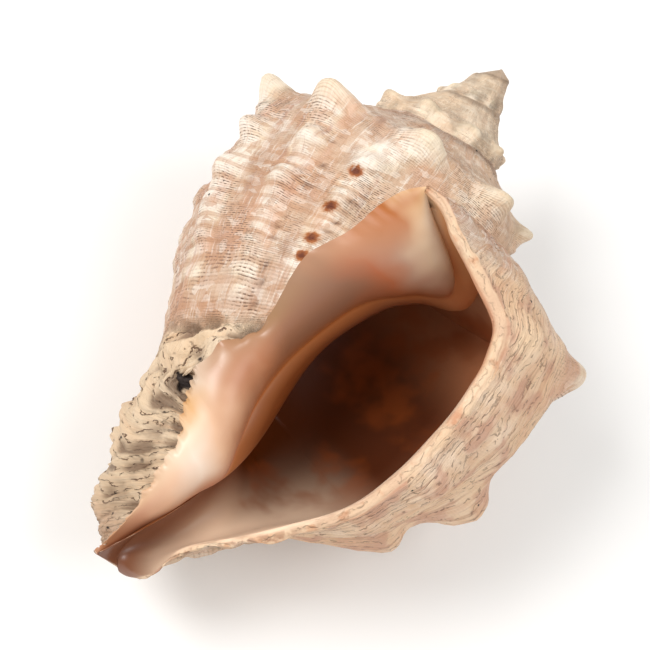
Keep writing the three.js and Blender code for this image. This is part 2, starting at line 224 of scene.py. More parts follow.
@dataclass(frozen=True)
class Outline:
    """One whorl's outline, in units of growth, and how its rows lead the growing edge."""

    # row, radius, drop below the shoulder
    below: tuple = (
        (0.62, 43.6, 0),
        (0.8, 44.9, 5.5),
        (1.0, 45.2, 11.5),
        (1.12, 45.0, 19),
        (1.24, 44.2, 29),
        (1.36, 41.0, 44),
        (1.5, 32.5, 61),
    )
    ramp_rows: tuple = (0, 0.2, 0.42)
    ramp: tuple = ((0, 0), (0.32, 0.4), (0.7, 0.8))
    lead_rows: tuple = (0, 0.2, 0.4, 0.62, 1, 1.2, 1.4, 1.5, 1.6, 1.8, 2)
    corner_lead: float = 0.235
    leads: tuple = (0.235, 0.172, 0.123, 0.097, 0.0892, 0.092, 0.092, 0.095, 0.1, 0.12, 0.14)
    # millimetres down the outline of the last whorl at some rows
    run_rows: tuple = (0, 0.2, 0.42, 0.62, 0.8, 1, 1.12, 1.24, 1.36, 1.5, 2)
    run: tuple = (0, 10, 21, 30, 35.6, 41.6, 49.1, 59.1, 74.4, 93.4, 123)

    def lead(self, row: Array, seam_lead: float) -> Array:
        """How far ahead of the +X side the growing edge is at a row, in turns."""
        leads = list(self.leads)
        leads[4] = seam_lead
        return level(leads, self.lead_rows, row)

    def millimetres(self, row: Array) -> Array:
        """How far down the outline a row is, on the last whorl."""
        return level(self.run, self.run_rows, row)


@dataclass(frozen=True)
class Sculpture:
    """Axial ribs that end in knobs on the shoulder, with rows of nodules below."""

    ribs_per_turn: float = 8.6
    last_rib: float = -0.035
    knob_out: float = 4.9
    knob_up: float = 2.6
    hollow: float = 0.9  # how far the shoulder sinks between two knobs
    # how far each rib leans back below the shoulder, in ribs, counted from the lip
    lean_ribs: tuple = (0, 3, 4, 5, 6, 7)
    leans: tuple = (0.1, 0.3, 0.4, 0.2, -0.38, 0)

    def number(self, turn: Array, row: Array) -> Array:
        """Which rib a point is on, counted back from the lip: whole on a rib's crest."""
        plain = self.ribs_per_turn * (self.last_rib - turn)
        lean = level(self.leans, self.lean_ribs, np.clip(plain, 0, 7))
        return plain - lean * smooth((row - 0.75) / 0.35)

    def rib(self, turn: Array, row: Array) -> Array:
        """1 on a rib's crest and 0 between two ribs: a raised cosine, squared."""
        return ((1 + np.cos(CIRCLE * self.number(turn, row))) / 2) ** 2

    def nodules(self, row: Array) -> Array:
        """Five rows of low bumps, each a bell across the rows."""
        return (
            0.25 * bell(row - 0.9, 0.04)
            + 0.95 * bell(row - 1.07, 0.045)
            + 1.0 * bell(row - 1.245, 0.038)
            + 0.5 * bell(row - 1.33, 0.03)
            + 0.35 * bell(row - 1.39, 0.03)
        )

    def push(self, turn: Array, row: Array, size: Array) -> tuple[Array, Array]:
        """How far the surface stands out and how far it lifts.

        Ribs times a bell at the shoulder make the knobs, which fade on the first whorl. The last
        rib, just behind the lip, is stronger low down, and its knob is blunt.

        Args:
            turn: place along the spiral.
            row: place down the whorl.
            size: the whorl's size there.
        Returns:
            Outward and upward millimetres.
        """
        late = smooth((turn + 0.16) / 0.1)
        early = smooth((-0.8 - turn) / 0.3)
        rib = self.rib(turn, row) * (1 - smooth((-2.3 - turn) / 0.6))
        knob = bell(row - 0.66, 0.13) * (1 - 0.3 * early)
        ridge = 0.75 * smooth((row - 0.3) / 0.3) * smooth((1.5 - row) / 0.3)
        last = (
            2.2 * bell(row - 1.285, 0.055)
            + 1.6 * bell(row - 1.42, 0.045)
            + 0.2 * bell(row - 1, 0.2)
        )
        sharp = rib * knob
        peak = sharp + late * sharp * (1 - sharp)  # the last knob is blunt
        below = 4.2 * self.nodules(row) * (1 - late) + 1.6 * ridge + 3.6 * late * last
        out = self.knob_out * peak * (1 - 0.1 * late) + rib * below
        sunk = self.hollow * size * (1 - rib) * knob
        return size * out - sunk, size * peak * (self.knob_up - late) - sunk


@dataclass(frozen=True)
class LipEdge:
    """The growing edge, from the upper corner over the shoulder to the spout's tip."""

    rows: tuple = (0, 0.2, 0.4, 0.62, 0.8, 1, 1.2, 1.3, 1.4, 1.5, 1.6, 1.7, 1.8, 1.9, 2)
    edge: tuple = (
        (2.4, -25.3, -34.4),
        (11.8, -28, -37.8),
        (20.2, -27, -41.2),
        (28.1, -26, -45.8),
        (30.7, -25.5, -51.3),
        (31.8, -25, -57.2),
        (31.7, -24, -69),
        (30.3, -22.5, -78.9),
        (27, -20, -88.9),
        (19.9, -16, -98),
        (13.9, -12.5, -104.3),
        (7.4, -9.5, -110.8),
        (4.7, -6.5, -118),
        (-0.6, 1, -119.2),
        (-6, -4.5, -119.8),
    )
    wall_rows: tuple = (0, 0.3, 0.6, 1, 1.4, 1.7, 2)
    wall: tuple = (1.5, 2.7, 2.7, 2.8, 2.3, 1.2, 0.8)

    def at(self, row: Array) -> Array:
        """The edge at rows of any shape."""
        flat = curve_at(self.edge, self.rows, np.ravel(row))
        return flat.reshape(np.shape(row) + (3,))

    def thickness(self, row: Array) -> Array:
        """How thick the wall is at a row."""
        return level(self.wall, self.wall_rows, row)


@dataclass(frozen=True)
class SpoutForm:
    """The spout's back and its scaly ridge, row by row from the inner lip round to the lip."""

    rows: tuple = (1.5, 1.6, 1.7, 1.8, 1.9, 2)
    along: tuple = (0, 0.2, 0.4, 0.6, 0.8, 1)
    start: tuple = (
        (-6.4, -15, -68.4),
        (-8.5, -14.3, -73.5),
        (-10.3, -13.3, -78),
        (-11.3, -12.3, -82),
        (-11.6, -11.2, -84.5),
        (-11.4, -10, -86),
    )
    # azimuth in degrees, radius and height at 0.2, 0.4, 0.6 and 0.8 along
    round: tuple = (
        ((190, 20.6, -77), (135, 21, -84), (85, 20, -91), (35, 21, -96)),
        ((190, 18.4, -81), (140, 18, -88), (92, 16, -97), (40, 15, -102.5)),
        ((195, 18.3, -85), (155, 17.5, -93), (110, 14.5, -102), (55, 11, -109)),
        ((203, 18, -88), (178, 16.4, -97), (150, 13.2, -107), (105, 9, -114)),
        ((212, 17, -90.5), (205, 15.2, -100), (195, 12.4, -109.5), (185, 9, -116)),
        ((229, 13.6, -91), (240, 12.4, -96.8), (240, 10.6, -105), (236, 9, -113)),
    )

    def at(self, along: Array, lip: LipEdge) -> Array:
        """Points of every spout row at some places along them, rows on the first axis."""
        lines = []
        for row, start, places in zip(self.rows, self.start, self.round):
            azimuth, radius, height = np.array(places, float).T
            angle = np.radians(azimuth)
            middle = np.stack([radius * np.cos(angle), radius * np.sin(angle), height], -1)
            ends = np.vstack([[start], middle, [lip.at(np.array(row))]])
            lines.append(curve_at(ends, self.along, along))
        return np.array(lines)


@dataclass(frozen=True)
class InnerLip:
    """The smooth inner lip: its free edge down the pillar, and how that edge goes inside."""

    along: tuple = (0, 0.08, 0.18, 0.27, 0.33, 0.42, 0.52, 0.64, 0.73, 0.83, 0.92, 1)
    # from the spout's tip to the upper corner; the two ends come from the lip's own rim
    edge: tuple = (
        (0, 0, 0),
        (-2.2, -3.4, -113),
        (0.6, -4, -106.5),
        (2.4, -4.2, -100.5),
        (4.3, -4.4, -96),
        (3, -4.6, -90),
        (1, -4.6, -81),
        (1.5, -6, -68),
        (5, -9, -56),
        (11.5, -9.5, -48.5),
        (16.8, -7, -42),
        (0, 0, 0),
    )
    deep_along: tuple = (0, 0.15, 0.3, 0.45, 0.6, 0.73, 0.83, 1)
    deep: tuple = (
        (5.5, -5, -88),
        (5, -5, -84),
        (4, -5, -80),
        (2.6, -5, -74),
        (1.8, -6.2, -67),
        (4.6, -9, -56),
        (11.3, -9.5, -48.6),
        (0, 0, 0),
    )
    glaze_along: tuple = (0, 0.12, 0.3, 0.45, 0.6, 0.72, 0.83, 0.93, 1)
    glaze: tuple = (0, 0.3, 0.8, 0.6, 0.8, 0.8, -0.8, -1.6, 0)
    roll: float = 0.15  # how far the glaze's outer edge stands proud


@dataclass(frozen=True)
class Fineness:
    """How many steps each grid has."""

    period: int = 205  # columns from a seam's vertex to the one it joins, a turn less the leads
    close_columns: int = 62  # of those, how many are packed just behind the lip
    close_turns: float = 0.12
    strip_rows: int = 44
    base_rows: int = 112
    rim_rings: int = 14
    hollow_rings: int = 27


class ShellForm:
    """Works out every grid of the shell's surface, in its growing position."""

    SULCUS_TURNS = 0.15  # the groove behind the mouth's upper corner
    SULCUS_REACH = 0.12  # how far inside it is whole
    HOLLOW_TURNS = 0.9
    SEAM_TURNS = 41 / 48  # from a point of the seam back to the row that it joins
    START_ROWS = (1, 1.1, 1.2, 1.3, 1.4, 1.5)
    START_TURNS = (-41 / 48, -0.835, -0.825, -0.815, -0.79, -0.78)
    DEEP_ROWS = (1.42, 1.5, 1.6, 1.8, 2)
    DEEP_OUTLINE = ((36, 50), (31, 58), (24, 62), (15, 60), (8, 52))
    LAST_SWEPT_ROW = 1.42  # below it the surface is the spout's
    FOOT_ROWS = (1.3, 1.36, 1.42)  # the rows that the spout's are joined on from
    PULL_TURNS = 0.105  # how far behind the lip the whorl is drawn onto the edge
    LOW_PULL_TURNS = 0.13  # how much further at the foot
    STEP_BACK = 0.004  # turns between two walls whose difference gives a direction
    SOFTENED = 20  # border points on each side that a softened one is a mean of

    def __init__(self, fineness: Fineness) -> None:
        """Takes the fineness and works out where the columns stand."""
        self.growth = Growth()
        self.outline = Outline()
        self.sculpture = Sculpture()
        self.lip = LipEdge()
        self.spout = SpoutForm()
        self.inner = InnerLip()
        self.fineness = fineness
        self.seam_lead = self.SEAM_TURNS - 1 + self.outline.corner_lead
        self.steps = self.column_steps()
        self.base_rows = 1 + np.linspace(0, 1, fineness.base_rows + 1)

    def column_steps(self) -> Array:
        """Steps behind the lip, in turns, of every column, closer together just behind the lip.

        The pattern repeats after each seam period, so that every column meets one above it.
        """
        f = self.fineness
        coarse = f.period - f.close_columns
        first = np.linspace(-self.SEAM_TURNS, -f.close_turns, coarse + 1)
        second = np.linspace(-f.close_turns, 0, f.close_columns + 1)[1:]
        one = np.concatenate([first, second])  # period + 1 places
        back = one[:-1]
        steps = [one]
        while steps[0][0] > -self.growth.turns:
            back = back - self.SEAM_TURNS
            steps.insert(0, back)
        every = np.concatenate(steps)
        return every[every >= -self.growth.turns]

    def lead(self, row: Array) -> Array:
        """The growing edge's lead at rows of any shape."""
        return self.outline.lead(row, self.seam_lead)

    def plain(self, turn: Array, row: Array) -> Array:
        """The plain whorl: a point at a turn and a row, hanging from the whorl before it.

        The outline below the shoulder grows with the turn, and the ramp above it runs up to
        the row of the whorl before at which this one is joined on.
        """
        shape = np.shape(turn)
        turn, row = np.ravel(turn).astype(float), np.ravel(row).astype(float)
        g = self.growth
        size, shoulder = g.size(turn), g.shoulder(turn)
        seam_radius, seam_drop = self.outline.below[2][1:]
        before = g.size(turn - 1)
        seam = np.stack([before * seam_radius, g.shoulder(turn - 1) - before * seam_drop], -1)
        below = [
            np.stack([size * radius, shoulder - size * drop], -1)
            for _, radius, drop in self.outline.below
        ]
        ramp = [seam + (below[0] - seam) * np.array(share) for share in self.outline.ramp]
        knots = list(self.outline.ramp_rows) + [b[0] for b in self.outline.below]
        flat = curve_at(np.array(ramp + below), knots, row, own=True)
        points = np.stack([flat[:, 0], 0 * row, flat[:, 1]], -1)
        return turned(points, -CIRCLE * turn).reshape(shape + (3,))

    def swept(self, step: Array, row: Array, ribbed: bool = True) -> Array:
        """The outer surface down to the foot of the whorl.

        The plain whorl, pushed out by its ribs and knobs, whose last part is pulled onto the
        lip's edge.

        Args:
            step: turns behind the lip.
            row: place down the whorl, the same shape as step.
            ribbed: False for the wall's inner side.
        Returns:
            The points.
        """
        lead = self.lead(row)
        turn = step + lead
        points = self.plain(turn, row)
        if ribbed:
            out, up = self.sculpture.push(turn, row, self.growth.size(turn))
            close = smooth((step + self.PULL_TURNS) / self.PULL_TURNS)
            kept = (1 - 0.85 * close) * smooth(row / 0.25)
            push = np.stack([out * kept, 0 * out, up * kept], -1)
            points = points + turned(push, -CIRCLE * turn)
        plain_lip = self.plain(lead, row)
        near = smooth(row / 0.2)[..., None]
        edge = plain_lip + (self.lip.at(row) - plain_lip) * near
        reach = self.PULL_TURNS + self.LOW_PULL_TURNS * smooth((row - 1.15) / 0.25)
        pull = smooth((step + reach) / reach)[..., None]
        return points + turned(edge - plain_lip, CIRCLE * (lead - turn)) * pull

    def start(self, row: Array) -> Array:
        """Where the outer surface starts beside the inner lip, in turns behind the lip."""
        return level(self.START_TURNS, self.START_ROWS, np.minimum(row, 1.5))

    def base(self, along: Array, rows: Array) -> Array:
        """The foot of the last whorl and the spout's back, columns on the first axis."""
        knots, lines = [], []
        for row in self.FOOT_ROWS:
            every = np.full_like(along, row)
            knots.append(row)
            lines.append(self.swept(self.start(every) * (1 - along), every))
        table = np.concatenate([np.array(lines), self.spout.at(along, self.lip)])
        points = curve_at(table, knots + list(self.spout.rows), rows)
        upper = rows <= self.LAST_SWEPT_ROW
        a, r = np.meshgrid(along, rows[upper])
        points[upper] = self.swept(self.start(r) * (1 - a), r)
        return points.transpose(1, 0, 2)

    def wall(self, depth: float, rows: Array, deep: float) -> Array:
        """The wall at some depth behind the lip; deep closes the groove at the corner."""
        upper = rows <= self.LAST_SWEPT_ROW + 1e-9
        points = np.empty((len(rows), 3))
        high, low = rows[upper], rows[~upper]
        groove = self.SULCUS_TURNS * deep * (1 - smooth(high / 0.45))
        points[upper] = self.swept(-depth - groove, high, ribbed=False)
        ends = np.array(self.FOOT_ROWS)
        above = self.swept(np.full(3, -float(depth)), ends, ribbed=False)
        along = max(0.0, 1 + depth / self.START_TURNS[-1])
        spout = self.spout.at(np.array([along]), self.lip)[:, 0]
        real = curve_at(np.vstack([above, spout]), [*ends, *self.spout.rows], low)
        turn = self.lead(low) - depth
        outline = curve_at(self.DEEP_OUTLINE, self.DEEP_ROWS, low)
        size = self.growth.size(turn)
        closed = np.stack(
            [size * outline[:, 0], 0 * low, self.growth.shoulder(turn) - size * outline[:, 1]], -1
        )
        closed = turned(closed, -CIRCLE * turn)
        if len(low) and len(high):
            step_down = above[-1] - closed[0]
            closed = closed + step_down * (1 - smooth((low - low[0]) / 0.4))[:, None]
        share = smooth(np.array(depth / 0.4))
        points[~upper] = real * (1 - share) + closed * share
        return points

    def wall_frame(self, depth: float, rows: Array, deep: float) -> tuple[Array, Array, Array]:
        """The wall's points, with the directions forward along the growth and outward."""
        here = self.wall(depth, rows, deep)
        forward = unit(here - self.wall(depth + self.STEP_BACK, rows, deep))
        down = unit(np.gradient(here, axis=0))
        return here, forward, unit(np.cross(forward, down))

    @staticmethod
    def round_mix(a: Array, b: Array, u: float) -> Array:
        """Between two lines, going round the axis rather than through it, so it stays full."""
        radius_a, radius_b = np.hypot(a[:, 0], a[:, 1]), np.hypot(b[:, 0], b[:, 1])
        angle_a, angle_b = np.arctan2(a[:, 1], a[:, 0]), np.arctan2(b[:, 1], b[:, 0])
        angle = angle_a + (angle_b - angle_a) * u
        radius = radius_a + (radius_b - radius_a) * u**1.5
        height = a[:, 2] + (b[:, 2] - a[:, 2]) * u
        return np.stack([radius * np.cos(angle), radius * np.sin(angle), height], -1)

    def mouth(self, border: Array) -> "MouthGrid":
        """Rings from the outer boundary round the lip and over the inner lip into the hollow.

        Each ring lists the wall from the upper corner down to the spout's tip, and then the
        inner side back up. The first rings bend round the lip's edge as a half circle does
        while the inner side crosses the glaze; the rest run back inside and shrink a little.

        Args:
            border: the outer surface's edge beside the inner lip, from the seam to the tip.
        Returns:
            The rings with where each point is.
        """
        f = self.fineness
        strip = np.linspace(0, 1, f.strip_rows + 1)
        rows = np.concatenate([strip, self.base_rows[1:]])
        walls = self.lip.thickness(rows)
        lip, forward, outward = self.wall_frame(0, rows, 0)
        run = np.concatenate([[0], np.cumsum(np.linalg.norm(np.diff(border, axis=0), axis=1))])
        place = 1 - run / run[-1]

        shares = np.arange(1, f.rim_rings + 1) / f.rim_rings
        rims = []
        for u in shares:
            inward = walls * (1 - np.cos(np.pi * u)) / 2
            bulge = 0.35 * walls * np.sin(np.pi * u)
            rims.append(lip - outward * inward[:, None] + forward * bulge[:, None])
        edge_points = np.array(self.inner.edge, float)
        edge_points[0], edge_points[-1] = rims[-1][-1], rims[-1][0]
        edge = curve_at(edge_points, self.inner.along, place)

        half = self.SOFTENED
        window = np.hanning(2 * half + 1)
        padded = np.pad(border, ((half, half), (0, 0)), mode="reflect", reflect_type="odd")
        soft = np.stack([np.convolve(c, window / window.sum(), "valid") for c in padded.T], -1)
        rings = [np.vstack([lip, border[1:-1][::-1]])]
        swell = level(self.inner.glaze, self.inner.glaze_along, place)
        for u, rim in zip(shares, rims):
            eased = 0.35 * smooth(u) + 0.65 * u
            glaze = (swell * np.sin(np.pi * eased))[:, None] * np.array([-0.15, -1, -0.1])
            outer = border + (soft - border) * smooth(u / 0.45)
            inner = edge if u == 1 else self.round_mix(outer, edge, eased) + glaze
            rings.append(np.vstack([rim, inner[1:-1][::-1]]))

        deep = curve_at(self.inner.deep, self.inner.deep_along, place)
        deep = np.where((place > 0.72)[:, None], edge, deep)
        corner = smooth((place - 0.8) / 0.2)[:, None]
        depths = self.HOLLOW_TURNS * (np.arange(1, f.hollow_rings + 1) / f.hollow_rings) ** 1.25
        for depth in depths:
            groove = smooth(depth / self.SULCUS_REACH)
            back, _, outward = self.wall_frame(depth, rows, groove)
            thick = walls + 0.8 * smooth(depth / 0.1)
            thick = thick + 3 * smooth((depth - 0.5) / 0.35) * smooth((rows - 0.8) / 0.3)
            wall = back - outward * (thick * np.exp(-0.5 * depth))[:, None]
            lift = smooth(depth / 0.42)
            inner = self.growth.carried_back(edge + (deep - edge) * lift, depth)
            inner = inner + (wall[0] - inner[0]) * corner
            ring = np.vstack([wall, inner[1:-1][::-1]])
            shrink = 0.25 * smooth(depth / self.HOLLOW_TURNS)
            rings.append(ring + (ring.mean(0) - ring) * shrink)

        across = np.concatenate([[0], shares, np.ones(f.hollow_rings)])
        inside = np.concatenate([np.zeros(f.rim_rings + 1), depths])
        inner_place = place[1:-1][::-1]
        return MouthGrid(np.array(rings), rows, inner_place, across, inside)


@dataclass
class MouthGrid:
    """The mouth's rings, and where each ring and each place round a ring is."""

    points: Array  # rings, places, 3
    rows: Array  # the wall's rows
    place: Array  # the inner side's places, 0 at the spout's tip and 1 at the upper corner
    across: Array  # each ring's share of the way over the rim, 1 from the free edge inward
    depth: Array  # each ring's turns inside the hollow

    @property
    def count(self) -> int:
        """How many places a ring has."""
        return self.points.shape[1]


# ---- the fine relief and what the finish needs to know ---------------------------------------
@dataclass(frozen=True)
class Relief:
    """Heights of the fine sculpture in millimetres, and the marks that go with it."""

    cord_pitch: float = 3.6
    thread_pitch: float = 1.2
    lamella_pitch: float = 2.4
    scales: float = 21  # scales along the spout's ridge
    scale_bow: float = 0.09  # how far each scale's middle bows toward the tip
    growth_stops: tuple = (-0.115, -0.262, -0.41, -0.52, -0.655, -0.71, -1.13, -1.42)
    stained_ribs: tuple = (0, 0, 0.15, 0.1, 0.2, 0.12, 1, 0.2)
    nodule_rows: tuple = (1.13, 1.275, 1.355, 1.4)
    slit: tuple = (-11.7, -10.3, -86.8)  # the small hole beside the inner lip's lower edge

    def arc(self, turn: Array, growth: Growth) -> Array:
        """Millimetres along the growth: the whorl's circumference summed up over the turn."""
        return CIRCLE * 45 * growth.size(turn) / growth.per_turn

    def outside(
        self, form: ShellForm, step: Array, row: Array, along: Array, points: Array
    ) -> tuple[Array, dict[str, Array]]:
        """Relief of the outer surface.

        Cords are raised cosines across the rows, largest at the foot of the whorl. Growth
        lines are noise drawn out across the growth. Behind the lip, overlapping scales are saw
        teeth along the growth. Round the spout's ridge, saw teeth, a cosine's folds and noise
        are added up.

        Args:
            form: the shell's form.
            step: turns behind the lip.
            row: place down the whorl.
            along: place round the spout's ridge, 0 beside the inner lip.
            points: where each point is.
        Returns:
            Heights, and named marks of three numbers a point.
        """
        growth, sculpture = form.growth, form.sculpture
        turn = step + form.lead(row)
        size = growth.size(turn)
        down = form.outline.millimetres(row)
        arc = self.arc(turn, growth)
        lines, lumps = Unevenness(11), Unevenness(12)
        flat = np.stack([arc, 0.12 * down, 0 * down], -1)

        foot = smooth((row - 1.05) / 0.15) * (1 - smooth((row - 1.47) / 0.06))
        middle = smooth((row - 0.66) / 0.2)
        reach = 0.125 + 0.09 * smooth((row - 1) / 0.2)
        late = smooth((step + reach) / 0.07) * smooth((row - 0.1) / 0.3)
        ridge = smooth((row - 1.49) / 0.07)
        wobble = 0.5 * lumps.at(points + 70, 8)
        cord = ((1 + np.cos(CIRCLE * (down + wobble) / self.cord_pitch)) / 2) ** 1.3
        thread = (1 + np.cos(CIRCLE * (down + wobble) / self.thread_pitch)) / 2
        worn = 0.65 + 0.5 * lumps.at(points + 30, 6)
        spiral = (0.12 + 0.16 * middle + 0.5 * foot) * cord + 0.06 * thread
        at_edge = 1 - smooth((step + 0.025) / 0.02)
        height = size * spiral * worn * (1 - 0.85 * late) * (1 - ridge) * at_edge
        height = height + 0.16 * lines.at(flat, 1.5) + 0.28 * lines.at(flat + 40, 4.5)
        height = height + 0.16 * lumps.at(points, 1.8) + 0.34 * lumps.at(points + 50, 5)

        wander = 0.006 * lumps.at(np.stack([down, 0 * down, 0 * down], -1), 9)
        crack = np.zeros_like(row)
        for stop in self.growth_stops:
            crack = np.maximum(crack, bell(turn - stop - wander, 0.0032))
        height = height - 0.28 * size * crack

        wave = arc / self.lamella_pitch + 1.6 * lumps.at(flat + 90, 9)
        saw = wave - np.floor(wave)
        scaly = late * (1 - smooth((row - 1.5) / 0.06))
        height = height + 0.30 * scaly * (saw - 0.5) * (0.6 + 0.5 * lumps.at(points, 5))

        rows3 = np.stack([13 * row, 7 * along, 0 * row], -1)
        bowed = along - self.scale_bow * bell(row - 1.9, 0.07)
        scale = self.scales * bowed + 2.4 * lumps.at(rows3, 2.2)
        tooth = scale - np.floor(scale)
        strength = ridge * (1 - 0.6 * smooth((along - 0.6) / 0.3))
        fold = np.cos(CIRCLE * (0.42 * scale + 0.5 * lumps.at(rows3 + 5, 3)))
        rough = 0.4 * (tooth - 0.5) + 0.35 * fold + 0.95 * lumps.at(points + 7, 3.2)
        height = height + 1.6 * strength * rough

        from_slit = points - np.array(self.slit)
        hole = bell(np.linalg.norm(from_slit, axis=-1), 1.4)
        hole = hole * (1 - smooth((row - 1.975) / 0.02)) * smooth((row - 1.7) / 0.1)
        seam = bell(row - 1.955, 0.022) * (1 - smooth((along - 0.5) / 0.4))
        height = height - hole - 0.5 * seam
        height = height * smooth(row / 0.06)

        broken = smooth((lumps.at(points + 21, 1.6) + 0.1) / 0.5)
        # painted shade: darkens the growth-stop cracks, the spout's seam, the spire's sutures and the
        # valleys between the spout's scales
        crevice_shade = 0.9 * crack * (1 - cord) ** 2 * broken
        crevice_shade = np.maximum(crevice_shade, 0.5 * seam * broken)
        crevice_shade = np.maximum(crevice_shade, 0.5 * bell(row - 0.04, 0.05) * smooth((-0.5 - turn) / 0.3))
        crevice_shade = np.maximum(crevice_shade, 0.75 * strength * smooth((-rough - 0.05) / 0.6))

        crest = sculpture.rib(turn, row)
        rib = crest * smooth((row - 0.4) / 0.3) * (1 - smooth((row - 1.4) / 0.1))
        knob = crest**1.5 * bell(row - 0.64, 0.12)
        number = sculpture.number(turn, row)
        nearest = np.rint(number)
        stain = np.take(self.stained_ribs, np.clip(nearest, 0, 7).astype(int))
        spot = np.zeros_like(row)
        for nodule in self.nodule_rows:
            spot = np.maximum(spot, bell(down - form.outline.millimetres(np.array(nodule)), 1.7))
        spot = spot * stain * bell(number - nearest + 0.1, 0.12)
        zero = 0 * row
        return height, {
            "growth": np.stack([arc, down + wobble, wave + (scale - wave) * ridge], -1),
            "marks": np.stack([rib, knob, spot], -1),
            # the first number of this mark is painted shade in cracks and grooves; then the late part
            # behind the lip and the spout's ridge
            "crevice_shade_zones": np.stack([crevice_shade, late * (1 - ridge), strength], -1),
            "zones": np.stack([zero, zero, zero], -1),
            "mouth": np.stack([zero, zero, zero], -1),
            "slit": from_slit,
        }

    def ragged(self, row: Array) -> Array:
        """How far the lip's edge stands forward of its curve: noise, strongest at the spout."""
        line = np.stack([30 * row, 0 * row, 0 * row], -1)
        edge = Unevenness(13)
        low = 1 + 2.6 * bell(row - 1.66, 0.14)
        fine, broad = edge.at(line, 0.9), edge.at(line + 9, 2.6)
        return low * (0.4 * fine + 0.6 * broad) * smooth(row / 0.15)


class Patch:
    """A grid of points, each with its vertex number, height and marks."""

    def __init__(self, points: Array, ids: Array, height: Array, marks: dict, own: Array) -> None:
        """Keeps the grid; own says which points place their vertex."""
        self.points, self.ids, self.height, self.marks, self.own = points, ids, height, marks, own


